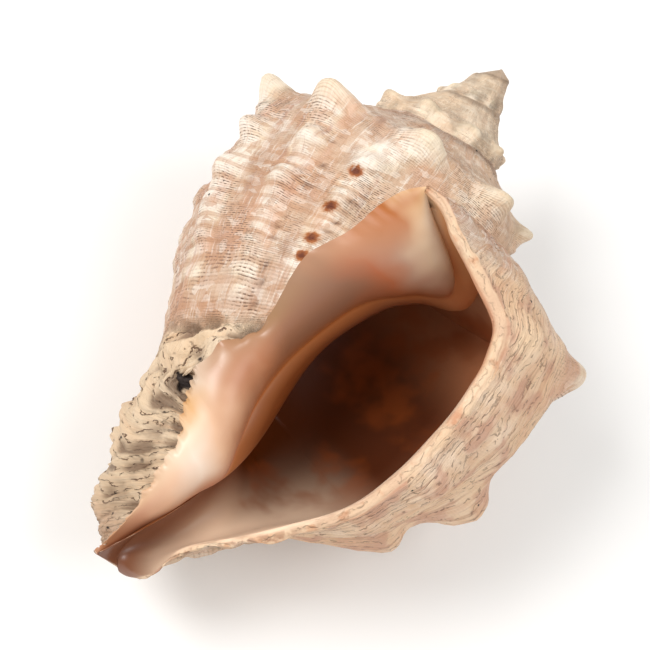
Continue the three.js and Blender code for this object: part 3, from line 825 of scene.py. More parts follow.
class ShellSurface:
    """One closed mesh made of the strip, the base, the mouth and two end points."""

    MARKS = ("growth", "marks", "crevice_shade_zones", "zones", "mouth", "slit")
    NOWHERE = 99.0  # millimetres, so that no part of the mouth is near the small hole
    RIM_ARC = 400  # millimetres along the growth that the lip's edge counts as
    FIRST_SCALE = 0.4
    RIM_SCALES = 1.8  # scales from the outer surface over the rim
    TIP = (0, 0, -0.6)  # the first vertex, at the tip of the spire

    def __init__(self, form: ShellForm, relief: Relief) -> None:
        """Works out the patches and joins them."""
        self.form, self.relief = form, relief
        self.patches: list[Patch] = []
        strip = self.strip()
        base = self.base(strip)
        self.mouth(strip, base)
        self.join()

    def strip(self) -> Patch:
        """The whorls from their upper seam to just below the shoulder.

        Row 0 has no vertices of its own: each is the last row's vertex one period earlier.
        """
        form, f = self.form, self.form.fineness
        rows = np.linspace(0, 1, f.strip_rows + 1)
        step, row = np.meshgrid(form.steps, rows, indexing="ij")
        points = form.swept(step, row)
        points = points + self.fray(step, row)
        count = len(form.steps)
        ids = np.zeros((count, f.strip_rows + 1), int)
        ids[:, 1:] = 1 + np.arange(count * f.strip_rows).reshape(count, f.strip_rows)
        ids[f.period :, 0] = ids[: -f.period, -1]
        own = np.ones_like(ids, bool)
        own[:, 0] = False
        height, marks = self.relief.outside(form, step, row, np.zeros_like(row), points)
        return self.keep(Patch(points, ids, height, marks, own))

    def base(self, strip: Patch) -> Patch:
        """The foot of the last whorl and the spout's back, below the strip's last row."""
        form, f = self.form, self.form.fineness
        steps = form.steps[-f.period - 1 :]
        along = 1 + steps / form.SEAM_TURNS
        rows = form.base_rows
        a, row = np.meshgrid(along, rows, indexing="ij")
        step = form.start(row) * (1 - a)
        points = form.base(along, rows) + self.fray(step, row)
        ids = np.zeros(row.shape, int)
        ids[:, 0] = strip.ids[-f.period - 1 :, -1]
        first = strip.ids.max() + 1
        ids[:, 1:] = first + np.arange(ids[:, 1:].size).reshape(ids[:, 1:].shape)
        own = np.ones_like(ids, bool)
        own[:, 0] = False
        height, marks = self.relief.outside(form, step, row, a, points)
        return self.keep(Patch(points, ids, height, marks, own))

    def fray(self, step: Array, row: Array) -> Array:
        """The lip's ragged edge, carried a little way back: forward along the growth."""
        amount = self.relief.ragged(row) * np.exp(np.minimum(step, 0) / 0.006)
        turn = step + self.form.lead(row)
        ahead = np.stack([0 * turn, -amount, 0 * turn], -1)
        return turned(ahead, -CIRCLE * turn)

    def mouth(self, strip: Patch, base: Patch) -> Patch:
        """The rim, the inner lip and the hollow, from the edge of the outer surface inward."""
        form = self.form
        border = np.vstack([base.points[0], base.points[1:, -1]])
        grid = form.mouth(border)
        wall = len(grid.rows)
        border_ids = np.concatenate([base.ids[0], base.ids[1:, -1]])[1:-1][::-1]
        ring0 = np.concatenate([strip.ids[-1], base.ids[-1, 1:], border_ids])
        edge_height = np.concatenate([strip.height[-1], base.height[-1, 1:]])
        border_height = np.concatenate([base.height[0], base.height[1:, -1]])[1:-1][::-1]
        rings = len(grid.points)
        ids = np.empty((rings, grid.count), int)
        ids[0] = ring0
        first = base.ids.max() + 1
        ids[1:] = first + np.arange((rings - 1) * grid.count).reshape(rings - 1, grid.count)
        own = np.ones_like(ids, bool)
        own[0] = False

        points = grid.points.copy()
        across, depth = grid.across[:, None], grid.depth[:, None]
        rim_part = np.where(across < 1, (1 + np.cos(np.pi * across)) / 2, 0)
        ahead = self.fray(np.zeros_like(grid.rows), grid.rows)
        points[:, :wall] += rim_part[..., None] * ahead[None]

        height = np.zeros(ids.shape)
        fading = (1 - smooth(across / 0.3)) * (depth == 0)
        height[:, :wall] = fading * edge_height
        height[:, wall:] = (1 - smooth(across / 0.12)) * (depth == 0) * border_height
        place = grid.place[None, :]
        ends = smooth(place / 0.06) * smooth((1 - place) / 0.06)
        rolled = bell(across - 0.11, 0.07) * (depth == 0) * ends
        height[:, wall:] += form.inner.roll * rolled

        full = np.ones((1, wall))
        lining = smooth((across - 0.5) / 0.4) * full
        rim = smooth(across / 0.08) * (1 - lining)
        zeros = np.zeros(ids.shape)
        glaze, rims, lined = zeros.copy(), zeros.copy(), zeros.copy()
        glaze[:, :wall], rims[:, :wall], lined[:, :wall] = lining, rim, 1
        glaze[:, wall:] = 1
        where = zeros.copy()
        where[:, :wall], where[:, wall:] = grid.rows / 2, place
        marks = {
            "growth": np.zeros(ids.shape + (3,)),
            "marks": np.zeros(ids.shape + (3,)),
            "crevice_shade_zones": np.zeros(ids.shape + (3,)),
            "zones": np.stack([glaze, depth + zeros, rims], -1),
            "mouth": np.stack([where, across + zeros, lined], -1),
            "slit": np.full(ids.shape + (3,), self.NOWHERE),
        }
        marks["growth"][:, :wall, 0] = self.RIM_ARC + form.lip.thickness(grid.rows) * across
        marks["growth"][:, :wall, 1] = form.outline.millimetres(grid.rows)
        marks["growth"][..., 2] = self.FIRST_SCALE + self.RIM_SCALES * across
        marks["crevice_shade_zones"][:, :wall, 1] = 1
        marks = {name: self.closed(values) for name, values in marks.items()}
        # the ring ends on the inner lip's side: at the upper corner, all glaze
        marks["mouth"][:, -1, 0], marks["mouth"][:, -1, 2] = 1, 0
        marks["zones"][:, -1, 0], marks["zones"][:, -1, 2] = 1, 0
        grids = (self.closed(grid) for grid in (points, ids, height, own))
        points, ids, height, own = grids
        return self.keep(Patch(points, ids, height, marks, own))

    @staticmethod
    def closed(rings: Array) -> Array:
        """Rings with their first place repeated at the end."""
        return np.concatenate([rings, rings[:, :1]], axis=1)

    def keep(self, patch: Patch) -> Patch:
        """Adds a patch to the surface."""
        self.patches.append(patch)
        return patch

    def join(self) -> None:
        """Puts the patches' points, faces and marks together."""
        count = max(p.ids.max() for p in self.patches) + 2
        end = count - 1
        self.points = np.zeros((count, 3))
        self.height = np.zeros(count)
        node_ids, node_marks, faces, first = [], {name: [] for name in self.MARKS}, [], 0
        for patch in self.patches:
            self.points[patch.ids[patch.own]] = patch.points[patch.own]
            self.height[patch.ids[patch.own]] = patch.height[patch.own]
            rows, columns = patch.ids.shape
            nodes = first + np.arange(rows * columns).reshape(rows, columns)
            a, b = nodes[:-1, :-1].ravel(), nodes[1:, :-1].ravel()
            c, d = nodes[1:, 1:].ravel(), nodes[:-1, 1:].ravel()
            faces += [np.stack([a, b, c], -1), np.stack([a, c, d], -1)]
            node_ids.append(patch.ids.ravel())
            for name in self.MARKS:
                node_marks[name].append(patch.marks[name].reshape(-1, 3))
            first += rows * columns
        strip, mouth = self.patches[0], self.patches[-1]
        self.points[0] = self.TIP
        self.points[end] = mouth.points[-1, :-1].mean(0)
        tip, back = first, first + 1
        node_ids.append(np.array([0, end]))
        for name in self.MARKS:
            tip_marks, end_marks = strip.marks[name][0, 0], mouth.marks[name][-1, 0]
            node_marks[name].append(np.stack([tip_marks, end_marks]))
        start = np.arange(1, strip.ids.shape[1])
        faces.append(np.stack([np.full(len(start) - 1, tip), start[:-1], start[1:]], -1))
        rim = first - mouth.ids.shape[1] + np.arange(mouth.ids.shape[1])
        faces.append(np.stack([rim[:-1], np.full(len(rim) - 1, back), rim[1:]], -1))
        nodes = np.concatenate(faces)
        vertices = np.concatenate(node_ids)[nodes]
        whole = (
            (vertices[:, 0] != vertices[:, 1])
            & (vertices[:, 1] != vertices[:, 2])
            & (vertices[:, 0] != vertices[:, 2])
        )
        self.faces = vertices[whole]
        corner = nodes[whole].ravel()
        self.marks = {name: np.concatenate(node_marks[name])[corner] for name in self.MARKS}

    def normals(self) -> Array:
        """Each vertex's normal: its faces' normals, weighed by their areas."""
        a, b, c = (self.points[self.faces[:, k]] for k in range(3))
        face = np.cross(b - a, c - a)
        total = np.zeros_like(self.points)
        for k in range(3):
            for axis in range(3):
                total[:, axis] += np.bincount(
                    self.faces[:, k], face[:, axis], minlength=len(self.points)
                )
        return unit(total)

    def carved(self) -> Array:
        """The points with the fine relief added along their normals."""
        return self.points + self.normals() * self.height[:, None]


@dataclass(frozen=True)
class RestingPose:
    """How the shell lies: which way is up once it lies down, and how worn its back is."""

    up: tuple = (0.044, -0.9775, 0.206)
    worn: float = 0.6  # millimetres worn off the points that it lies on

    def turn(self) -> Array:
        """The rotation that takes up to +Z and then the spire's direction over +X."""
        up = Vector(self.up).normalized()
        lie = up.rotation_difference(Vector((0, 0, 1))).to_matrix()
        spire = lie @ Vector((0, 0, 1))
        yaw = Matrix.Rotation(-np.arctan2(spire.y, spire.x), 3, "Z")
        return np.array(yaw @ lie)

    def laid(self, points: Array, box: tuple) -> Array:
        """Points in the growing position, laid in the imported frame, in metres.

        Args:
            points: the shell's points in millimetres.
            box: the CAD box, whose middle the shell is centred on.
        Returns:
            The points, with what is under the floor worn flat.
        """
        laid = points @ self.turn().T
        laid[:, 2] -= laid[:, 2].min() + self.worn
        shown = laid[laid[:, 2] > 0]
        middle = (shown.min(0) + shown.max(0)) / 2
        low, high = np.array(box[0]), np.array(box[1])
        laid = laid * MM
        laid[:, :2] += ((low + high) / 2)[:2] - middle[:2] * MM
        laid[:, 2] = np.maximum(laid[:, 2], 0) + low[2]
        return laid


# ---- finishes --------------------------------------------------------------------------------
MATH, MIX = "ShaderNodeMath", "ShaderNodeMix"
NOISE, RAMP = "ShaderNodeTexNoise", "ShaderNodeValToRGB"
SCALED, RANGE = "ShaderNodeVectorMath", "ShaderNodeMapRange"
CELLS, SPLIT = "ShaderNodeTexVoronoi", "ShaderNodeSeparateXYZ"
ATTRIBUTE = "ShaderNodeAttribute"
COLOUR = {"data_type": "RGBA"}
SOFT = {"interpolation_type": "SMOOTHSTEP"}


class Op(Enum):
    """Arithmetic that a Math node does."""

    TIMES = "MULTIPLY"
    PLUS = "ADD"
    SINE = "SINE"
    FLOOR = "FLOOR"
    COSINE = "COSINE"
    PART = "FRACT"
    MOST = "MAXIMUM"
    ABOVE = "GREATER_THAN"
    REACH = "LENGTH"


def linear(code: str) -> tuple[float, float, float, float]:
    """An sRGB hex colour as linear light, with full alpha."""
    values = [int(code[k : k + 2], 16) / 255 for k in (0, 2, 4)]
    light = [v / 12.92 if v <= 0.04045 else ((v + 0.055) / 1.055) ** 2.4 for v in values]
    return (*light, 1.0)


def add_node(
    tree: bpy.types.NodeTree,
    kind: str,
    inputs: dict | None = None,
    settings: dict | Op | None = None,
    stops: tuple = (),
    out: int | str = 0,
) -> Socket | None:
    """Adds a node with its settings and links.

    Args:
        tree: the material's nodes.
        kind: the node's type.
        inputs: sockets by name or number, each a link's source or a value; text is a colour.
        settings: the node's own properties, or the arithmetic that it does.
        stops: a ramp's places and colours.
        out: the output to return.
    Returns:
        One of the node's outputs, or None where it has none.
    """
    node = tree.nodes.new(kind)
    if isinstance(settings, Op):
        settings = {"operation": settings.value}
    for name, value in (settings or {}).items():
        setattr(node, name, value)
    for k, (place, code) in enumerate(stops):
        elements = node.color_ramp.elements
        element = elements[k] if k < 2 else elements.new(place)
        element.position, element.color = place, linear(code)
    for name, value in (inputs or {}).items():
        if isinstance(value, Socket):
            tree.links.new(value, node.inputs[name])
        else:
            node.inputs[name].default_value = linear(value) if isinstance(value, str) else value
    return node.outputs[out] if node.outputs else None


@dataclass
class Marks:
    """What the mesh says at each point, split into single numbers."""

    tree: bpy.types.NodeTree
    names: dict = field(default_factory=dict)

    def __post_init__(self) -> None:
        """Reads the six attributes and the place in space."""
        parts = {
            "growth": ("arc", "down", "scale"),
            "marks": ("rib", "knob", "spot"),
            "crevice_shade_zones": ("crevice_shade", "late", "ridge"),
            # the first of these is painted shade in cracks and grooves
            "zones": ("glaze", "depth", "rim"),
            "mouth": ("place", "across", "lining"),
        }
        for name, axes in parts.items():
            vector = self.add(ATTRIBUTE, settings={"attribute_name": name}, out="Vector")
            self.names[name] = vector
            for k, axis in enumerate(axes):
                self.names[axis] = self.add(SPLIT, {0: vector}, out=k)
        slit = self.add(ATTRIBUTE, settings={"attribute_name": "slit"}, out="Vector")
        slit = self.add(SCALED, {0: slit, 1: (1.0, 1.0, 0.6)}, Op.TIMES)
        reach = self.add(SCALED, {0: slit}, Op.REACH, out="Value")
        self.names["hole"] = self.add(RANGE, {0: reach, 1: 0.75, 2: 1.15, 3: 1.0, 4: 0.0}, SOFT)
        self.names["space"] = self.add("ShaderNodeTexCoord", out="Object")

    def __getitem__(self, name: str) -> Socket:
        """One of the marks by name."""
        return self.names[name]

    def add(self, kind: str, *rest: dict | Op, **named: dict | tuple | int | str) -> Socket | None:
        """Adds a node to the marks' own tree, as add_node does."""
        return add_node(self.tree, kind, *rest, **named)

    def tinted(self, colour: Socket | str, tint: Socket | str, *amounts: Socket | float) -> Socket:
        """Lays a tint over a colour, as much of it as all the amounts multiplied together."""
        amount = amounts[0]
        for share in amounts[1:]:
            amount = self.add(MATH, {0: amount, 1: share}, Op.TIMES)
        return self.add(MIX, {0: amount, 6: colour, 7: tint}, COLOUR, out=2)


@dataclass(frozen=True)
class ChalkyOuterLayer:
    """The outer layer of a sea shell: unglazed aragonite, worn by sand and dried by the sun.

    It is matt and pale. Pink and mauve grow in flames along the ribs, the ribs and knobs are worn to
    cream, and fine spiral threads hold brown dashes. Painted shade darkens the valleys between the
    ribs, the cracks, grooves and pits, and the small hole.
    """

    cream: str = "E6CFB2"
    sand: str = "D2AE8E"
    pink: str = "D6A284"
    mauve: str = "AA7A68"
    white: str = "F7EDE1"
    tip: str = "EAD5B4"
    # painted shade for the valleys between the ribs
    gap: str = "BE957C"
    tan: str = "B98662"
    thread: str = "6A4A36"
    groove: str = "B98C6E"
    # painted shade: near black for the bored pits and the small hole
    dark: str = "24130A"
    # colour of the painted shade in cracks, grooves and valleys
    crevice_shade: str = "54301A"
    streak: str = "A9785C"
    lip: str = "F0C69C"
    blush: str = "C48C74"
    ridge: str = "E0C4A2"
    old: str = "F8E2C0"
    patch_mm: float = 11
    flame_mm: tuple = (3.6, 20)
    cord_mm: float = 3.6
    thread_mm: float = 0.62
    dash_mm: float = 0.9
    pit_mm: float = 3.2
    grain_mm: float = 0.45

    def colour(self, m: Marks) -> Socket:
        """Colour of the outer layer."""
        patch = m.add(NOISE, {"Vector": m["space"], "Scale": 1 / (self.patch_mm * MM), "Detail": 3.0})
        stops = ((0.28, self.pink), (0.42, self.sand), (0.52, self.cream), (0.72, self.white))
        colour = m.add(RAMP, {0: patch}, stops=stops)

        across, down = self.flame_mm
        flames = m.add(SCALED, {0: m["growth"], 1: (1 / across, 1 / down, 0)}, Op.TIMES)
        flame = m.add(NOISE, {"Vector": flames, "Scale": 1.0, "Detail": 2.0})
        flame = m.add(RANGE, {0: flame, 1: 0.5, 2: 0.68, 4: 0.75}, SOFT)
        colour = m.tinted(colour, self.pink, flame)
        deep = m.add(SCALED, {0: m["growth"], 1: (1.4 / across, 1.7 / down, 1)}, Op.TIMES)
        deep = m.add(NOISE, {"Vector": deep, "Scale": 1.0, "Detail": 3.0})
        deep = m.add(RANGE, {0: deep, 1: 0.56, 2: 0.72, 4: 0.7}, SOFT)
        colour = m.tinted(colour, self.mauve, deep)

        # painted shade: the valleys between the ribs are tinted darker
        between = m.add(RANGE, {0: m["rib"], 1: 0.02, 2: 0.35, 3: 0.58, 4: 0.0}, SOFT)
        colour = m.tinted(colour, self.gap, between, self.busy(m))
        cord = self.cord(m)
        blocks = m.add(RANGE, {0: cord, 3: 0.6, 4: 1.0})
        rib = m.add(MATH, {0: m["rib"], 1: blocks}, Op.TIMES)
        rib = m.add(MATH, {0: rib, 1: patch}, Op.TIMES)
        rib = m.add(RANGE, {0: rib, 1: 0.08, 2: 0.5, 4: 0.6})
        colour = m.tinted(colour, self.white, rib)
        colour = self.weave(m, colour)
        old = m.add(RANGE, {0: m["arc"], 1: 130.0, 2: 260.0, 3: 0.5, 4: 0.0}, SOFT)
        colour = m.tinted(colour, self.old, old)
        colour = m.tinted(colour, self.tip, m["knob"], 0.8)

        streaks = m.add(SCALED, {0: m["growth"], 1: (1 / 0.7, 1 / 15, 0)}, Op.TIMES)
        streak = m.add(NOISE, {"Vector": streaks, "Scale": 1.0, "Detail": 3.0})
        streak = m.add(RANGE, {0: streak, 1: 0.5, 2: 0.7, 4: 0.55}, SOFT)
        streak = m.add(MATH, {0: streak, 1: m["late"]}, Op.TIMES)
        colour = m.tinted(colour, self.lip, m["late"], 0.58)
        blush = m.add(NOISE, {"Vector": m["space"], "Scale": 1 / (6 * MM), "Detail": 3.0})
        blush = m.add(RANGE, {0: blush, 1: 0.48, 2: 0.64, 4: 0.6}, SOFT)
        colour = m.tinted(colour, self.blush, blush, m["late"])
        colour = m.tinted(colour, self.streak, streak)
        colour = self.threads(m, colour)
        colour = m.tinted(colour, self.ridge, m["ridge"], 0.8)
        return self.stains_and_shade(m, colour)

    def weave(self, m: Marks, colour: Socket) -> Socket:
        """Small blocks of tint between cords and growth lines, and tan grooves at the foot."""
        cells = m.add(SCALED, {0: m["growth"], 1: (1 / 2.0, 1 / 1.5, 0)}, Op.TIMES)
        waver = m.add(NOISE, {"Vector": m["space"], "Scale": 1 / (2.5 * MM), "Detail": 2.0}, out=1)
        cells = m.add(SCALED, {0: cells, 1: waver}, Op.PLUS)
        tint = m.add(CELLS, {"Vector": cells, "Scale": 1.0}, out="Color")
        tint = m.add(SPLIT, {0: tint})
        pale = m.add(RANGE, {0: tint, 1: 0.6, 2: 1.0, 4: 0.4})
        colour = m.tinted(colour, self.white, pale, self.busy(m))
        deep = m.add(RANGE, {0: tint, 1: 0.0, 2: 0.35, 3: 0.5, 4: 0.0})
        colour = m.tinted(colour, self.tan, deep, self.busy(m))
        fine = m.add(SCALED, {0: m["growth"], 1: (1 / 0.45, 1 / 8, 0)}, Op.TIMES)
        fine = m.add(NOISE, {"Vector": fine, "Scale": 1.0, "Detail": 3.0})
        line = m.add(RANGE, {0: fine, 1: 0.56, 2: 0.7, 4: 0.5}, SOFT)
        colour = m.tinted(colour, self.white, line)
        line = m.add(RANGE, {0: fine, 1: 0.3, 2: 0.44, 3: 0.45, 4: 0.0}, SOFT)
        colour = m.tinted(colour, self.tan, line)
        groove = m.add(RANGE, {0: self.cord(m), 1: 0.0, 2: 0.5, 3: 0.4, 4: 0.0}, SOFT)
        low = m.add(RANGE, {0: m["down"], 1: 46.0, 2: 56.0}, SOFT)
        groove = m.add(MATH, {0: groove, 1: low}, Op.TIMES)
        return m.tinted(colour, self.tan, groove, self.busy(m))

    def threads(self, m: Marks, colour: Socket) -> Socket:
        """Fine spiral grooves, each with dashes of its own, gone near the lip and the spout."""
        phase = self.phase(m)
        wave = m.add(MATH, {0: phase, 1: CIRCLE}, Op.TIMES)
        wave = m.add(MATH, {0: wave}, Op.SINE)
        groove = m.add(RANGE, {0: wave, 1: 0.0, 2: 0.9}, SOFT)
        number = m.add(MATH, {0: phase}, Op.FLOOR)
        along = m.add(MATH, {0: m["arc"], 1: 1 / self.dash_mm}, Op.TIMES)
        place = m.add("ShaderNodeCombineXYZ", {0: along, 1: number, 2: 0.0})
        place = m.add(SCALED, {0: place, 1: (1.0, 3.7, 1.0)}, Op.TIMES)
        dash = m.add(NOISE, {"Vector": place, "Scale": 1.0, "Detail": 2.0})
        dash = m.add(RANGE, {0: dash, 1: 0.43, 2: 0.6}, SOFT)
        field = m.add(NOISE, {"Vector": m["space"], "Scale": 1 / (9 * MM), "Detail": 2.0})
        field = m.add(RANGE, {0: field, 1: 0.43, 2: 0.62, 3: 0.14, 4: 0.95}, SOFT)
        field = m.add(MATH, {0: field, 1: self.busy(m)}, Op.TIMES)
        soft = m.add(MATH, {0: groove, 1: field}, Op.TIMES)
        colour = m.tinted(colour, self.groove, soft, 0.4)
        dash = m.add(MATH, {0: dash, 1: groove}, Op.TIMES)
        dash = m.add(MATH, {0: dash, 1: field}, Op.TIMES)
        calm = m.add(RANGE, {0: m["knob"], 1: 0.05, 2: 0.4, 3: 1.0, 4: 0.15})
        return m.tinted(colour, self.thread, dash, calm)

    def cord(self, m: Marks) -> Socket:
        """1 on a cord's crest and 0 in the groove between two."""
        turns = m.add(MATH, {0: m["down"], 1: CIRCLE / self.cord_mm}, Op.TIMES)
        wave = m.add(MATH, {0: turns}, Op.COSINE)
        return m.add(RANGE, {0: wave, 1: -0.9, 2: 0.5}, SOFT)

    def cracks(self, m: Marks) -> Socket:
        """Thin dark broken lines where one scale ends on the next: painted shade in the gaps, also sunk
        into the bump.
        """
        waver = m.add(NOISE, {"Vector": m["space"], "Scale": 1 / (3 * MM), "Detail": 3.0})
        waver = m.add(RANGE, {0: waver, 3: -1.3, 4: 1.3})
        part = m.add(MATH, {0: m["scale"], 1: waver}, Op.PLUS)
        part = m.add(MATH, {0: part}, Op.PART)
        line = m.add(RANGE, {0: part, 1: 0.04, 2: 0.22, 3: 1.0, 4: 0.0}, SOFT)
        broken = m.add(NOISE, {"Vector": m["space"], "Scale": 1 / (1.7 * MM), "Detail": 3.0})
        broken = m.add(RANGE, {0: broken, 1: 0.43, 2: 0.53}, SOFT)
        late = m.add(MATH, {0: m["late"], 1: 0.55}, Op.TIMES)
        where = m.add(MATH, {0: m["ridge"], 1: late}, Op.MOST)
        line = m.add(MATH, {0: line, 1: broken}, Op.TIMES)
        return m.add(MATH, {0: line, 1: where}, Op.TIMES)

    def phase(self, m: Marks) -> Socket:
        """How many threads down a point is; they waver by up to 0.6 mm."""
        waver = m.add(NOISE, {"Vector": m["space"], "Scale": 1 / (5 * MM), "Detail": 2.0})
        waver = m.add(RANGE, {0: waver, 3: -0.6, 4: 0.6})
        down = m.add(MATH, {0: m["down"], 1: waver}, Op.PLUS)
        return m.add(MATH, {0: down, 1: 1 / self.thread_mm}, Op.TIMES)

    def busy(self, m: Marks) -> Socket:
        """1 where the threads show, less behind the lip, 0 on the spout's ridge."""
        late = m.add(RANGE, {0: m["late"], 3: 1.0, 4: 0.06})
        ridge = m.add(RANGE, {0: m["ridge"], 3: 1.0, 4: 0.0})
        return m.add(MATH, {0: late, 1: ridge}, Op.TIMES)

    def stains_and_shade(self, m: Marks, colour: Socket) -> Socket:
        """Rusty spots beside the nodules, painted shade in the cracks, grooves and valleys, and painted
        near-black shade in the small pits and the hole.
        """
        stops = ((0.0, "D9A066"), (0.45, "A8602C"), (0.8, "6E3214"))
        rust = m.add(RAMP, {0: m["spot"]}, stops=stops)
        blurred = m.add(NOISE, {"Vector": m["space"], "Scale": 1 / (1.1 * MM), "Detail": 3.0})
        blurred = m.add(RANGE, {0: blurred, 1: 0.3, 2: 0.6, 3: 0.5, 4: 1.2})
        amount = m.add(MATH, {0: m["spot"], 1: blurred}, Op.TIMES)
        amount = m.add(RANGE, {0: amount, 1: 0.08, 2: 0.5}, SOFT)
        colour = m.tinted(colour, rust, amount)
        # painted shade: cracks, grooves and valleys tinted dark brown
        crevice_shade = m.add(MATH, {0: m["crevice_shade"], 1: self.cracks(m)}, Op.MOST)
        colour = m.tinted(colour, self.crevice_shade, crevice_shade, 0.9)
        # painted shade: the bored pits and the small hole are tinted near black
        pits = m.add(MATH, {0: m["hole"], 1: self.pits(m)}, Op.MOST)
        return m.tinted(colour, self.dark, pits)

    def pits(self, m: Marks) -> Socket:
        """Small bored pits, in about a seventh of a random pattern's cells, and more on the ridge: the
        mask for their painted shade and their bump.
        """
        inputs = {"Vector": m["space"], "Scale": 1 / (self.pit_mm * MM)}
        near = m.add(CELLS, inputs, out="Distance")
        pick = m.add(CELLS, inputs, out="Color")
        pick = m.add(SPLIT, {0: pick})
        rare = m.add(RANGE, {0: m["ridge"], 3: 0.85, 4: 0.45})
        pick = m.add(MATH, {0: pick, 1: rare}, Op.ABOVE)
        edge = m.add(RANGE, {0: m["ridge"], 3: 0.1, 4: 0.2})
        pit = m.add(RANGE, {0: near, 1: 0.05, 2: edge, 3: 1.0, 4: 0.0}, SOFT)
        return m.add(MATH, {0: pit, 1: pick}, Op.TIMES)

    def height(self, m: Marks) -> Socket:
        """Relief too fine for the mesh, in millimetres: threads, growth lines, grain, pits."""
        phase = m.add(MATH, {0: self.phase(m), 1: -CIRCLE}, Op.TIMES)
        thread = m.add(MATH, {0: phase}, Op.SINE)
        worn = m.add(NOISE, {"Vector": m["space"], "Scale": 1 / (3 * MM), "Detail": 2.0})
        worn = m.add(RANGE, {0: worn, 1: 0.35, 2: 0.7, 3: 0.005, 4: 0.06})
        worn = m.add(MATH, {0: worn, 1: self.busy(m)}, Op.TIMES)
        thread = m.add(MATH, {0: thread, 1: worn}, Op.TIMES)
        lines = m.add(SCALED, {0: m["growth"], 1: (1 / 0.5, 1 / 5, 0)}, Op.TIMES)
        line = m.add(NOISE, {"Vector": lines, "Scale": 1.0, "Detail": 2.0})
        share = m.add(RANGE, {0: m["late"], 3: 0.3, 4: 0.4})
        line = m.add(MATH, {0: line, 1: share}, Op.TIMES)
        crack = m.add(MATH, {0: self.cracks(m), 1: -0.3}, Op.TIMES)
        line = m.add(MATH, {0: line, 1: crack}, Op.PLUS)
        grain = m.add(NOISE, {"Vector": m["space"], "Scale": 1 / (self.grain_mm * MM), "Detail": 2.0})
        grain = m.add(MATH, {0: grain, 1: 0.14}, Op.TIMES)
        pit = m.add(MATH, {0: self.pits(m), 1: m["hole"]}, Op.MOST)
        pit = m.add(MATH, {0: pit, 1: -0.25}, Op.TIMES)
        total = m.add(MATH, {0: thread, 1: line}, Op.PLUS)
        total = m.add(MATH, {0: total, 1: grain}, Op.PLUS)
        return m.add(MATH, {0: total, 1: pit}, Op.PLUS)


@dataclass(frozen=True)
class GlazedInnerLip:
    """The callus that the animal laid over the shell: porcelain-smooth, cream to terracotta.

    Three bands run along it, at its outer edge, its middle and its free edge, each with its
    own run of colours from the spout's tip (0) to the upper corner (1).
    """

    # part of these runs is painted light: the cream stop at 0.28 of the middle run is a painted
    # highlight, and the pale stops at the upper corner's end of each run are painted light where the
    # callus faces the lamp
    outer: tuple = (
        (0.0, "B98058"), (0.14, "D9B08C"), (0.25, "EBCFB2"), (0.34, "DDAA72"),
        (0.42, "DDC3AA"), (0.5, "B48462"), (0.6, "9E7652"), (0.7, "A47C60"),
        (0.8, "C48E6C"), (0.9, "B4682E"), (0.945, "DDB284"), (1.0, "EFDCC0"),
    )
    middle: tuple = (
        (0.0, "A8704C"), (0.12, "C79273"), (0.2, "E3B898"), (0.28, "F0DAC6"),
        (0.38, "E0B492"), (0.5, "B87A56"), (0.6, "9A6A4E"), (0.7, "966A52"),
        (0.79, "B46844"), (0.86, "BA927A"), (0.92, "D2B698"), (1.0, "EAD8C0"),
    )
    inner: tuple = (
        (0.0, "8A5230"), (0.13, "8A5838"), (0.25, "C08A68"), (0.38, "C9886A"),
        (0.5, "B86F40"), (0.62, "AE6634"), (0.74, "A86030"), (0.82, "A65E30"),
        (0.89, "B9764A"), (0.94, "D9B08A"), (1.0, "DDBB97"),
    )
    wander_mm: float = 11

    def colour(self, m: Marks) -> Socket:
        """Colour of the inner lip."""
        wander = m.add(NOISE, {"Vector": m["space"], "Scale": 1 / (self.wander_mm * MM), "Detail": 2.0})
        shift = m.add(RANGE, {0: wander, 3: -0.09, 4: 0.09})
        place = m.add(MATH, {0: m["place"], 1: shift}, Op.PLUS)
        across = m.add(MATH, {0: m["across"], 1: shift}, Op.PLUS)
        outer, middle, inner = (
            m.add(RAMP, {0: place}, stops=run) for run in (self.outer, self.middle, self.inner)
        )
        first = m.add(RANGE, {0: across, 1: 0.1, 2: 0.42}, SOFT)
        second = m.add(RANGE, {0: across, 1: 0.6, 2: 0.98}, SOFT)
        colour = m.tinted(outer, middle, first)
        return m.tinted(colour, inner, second)


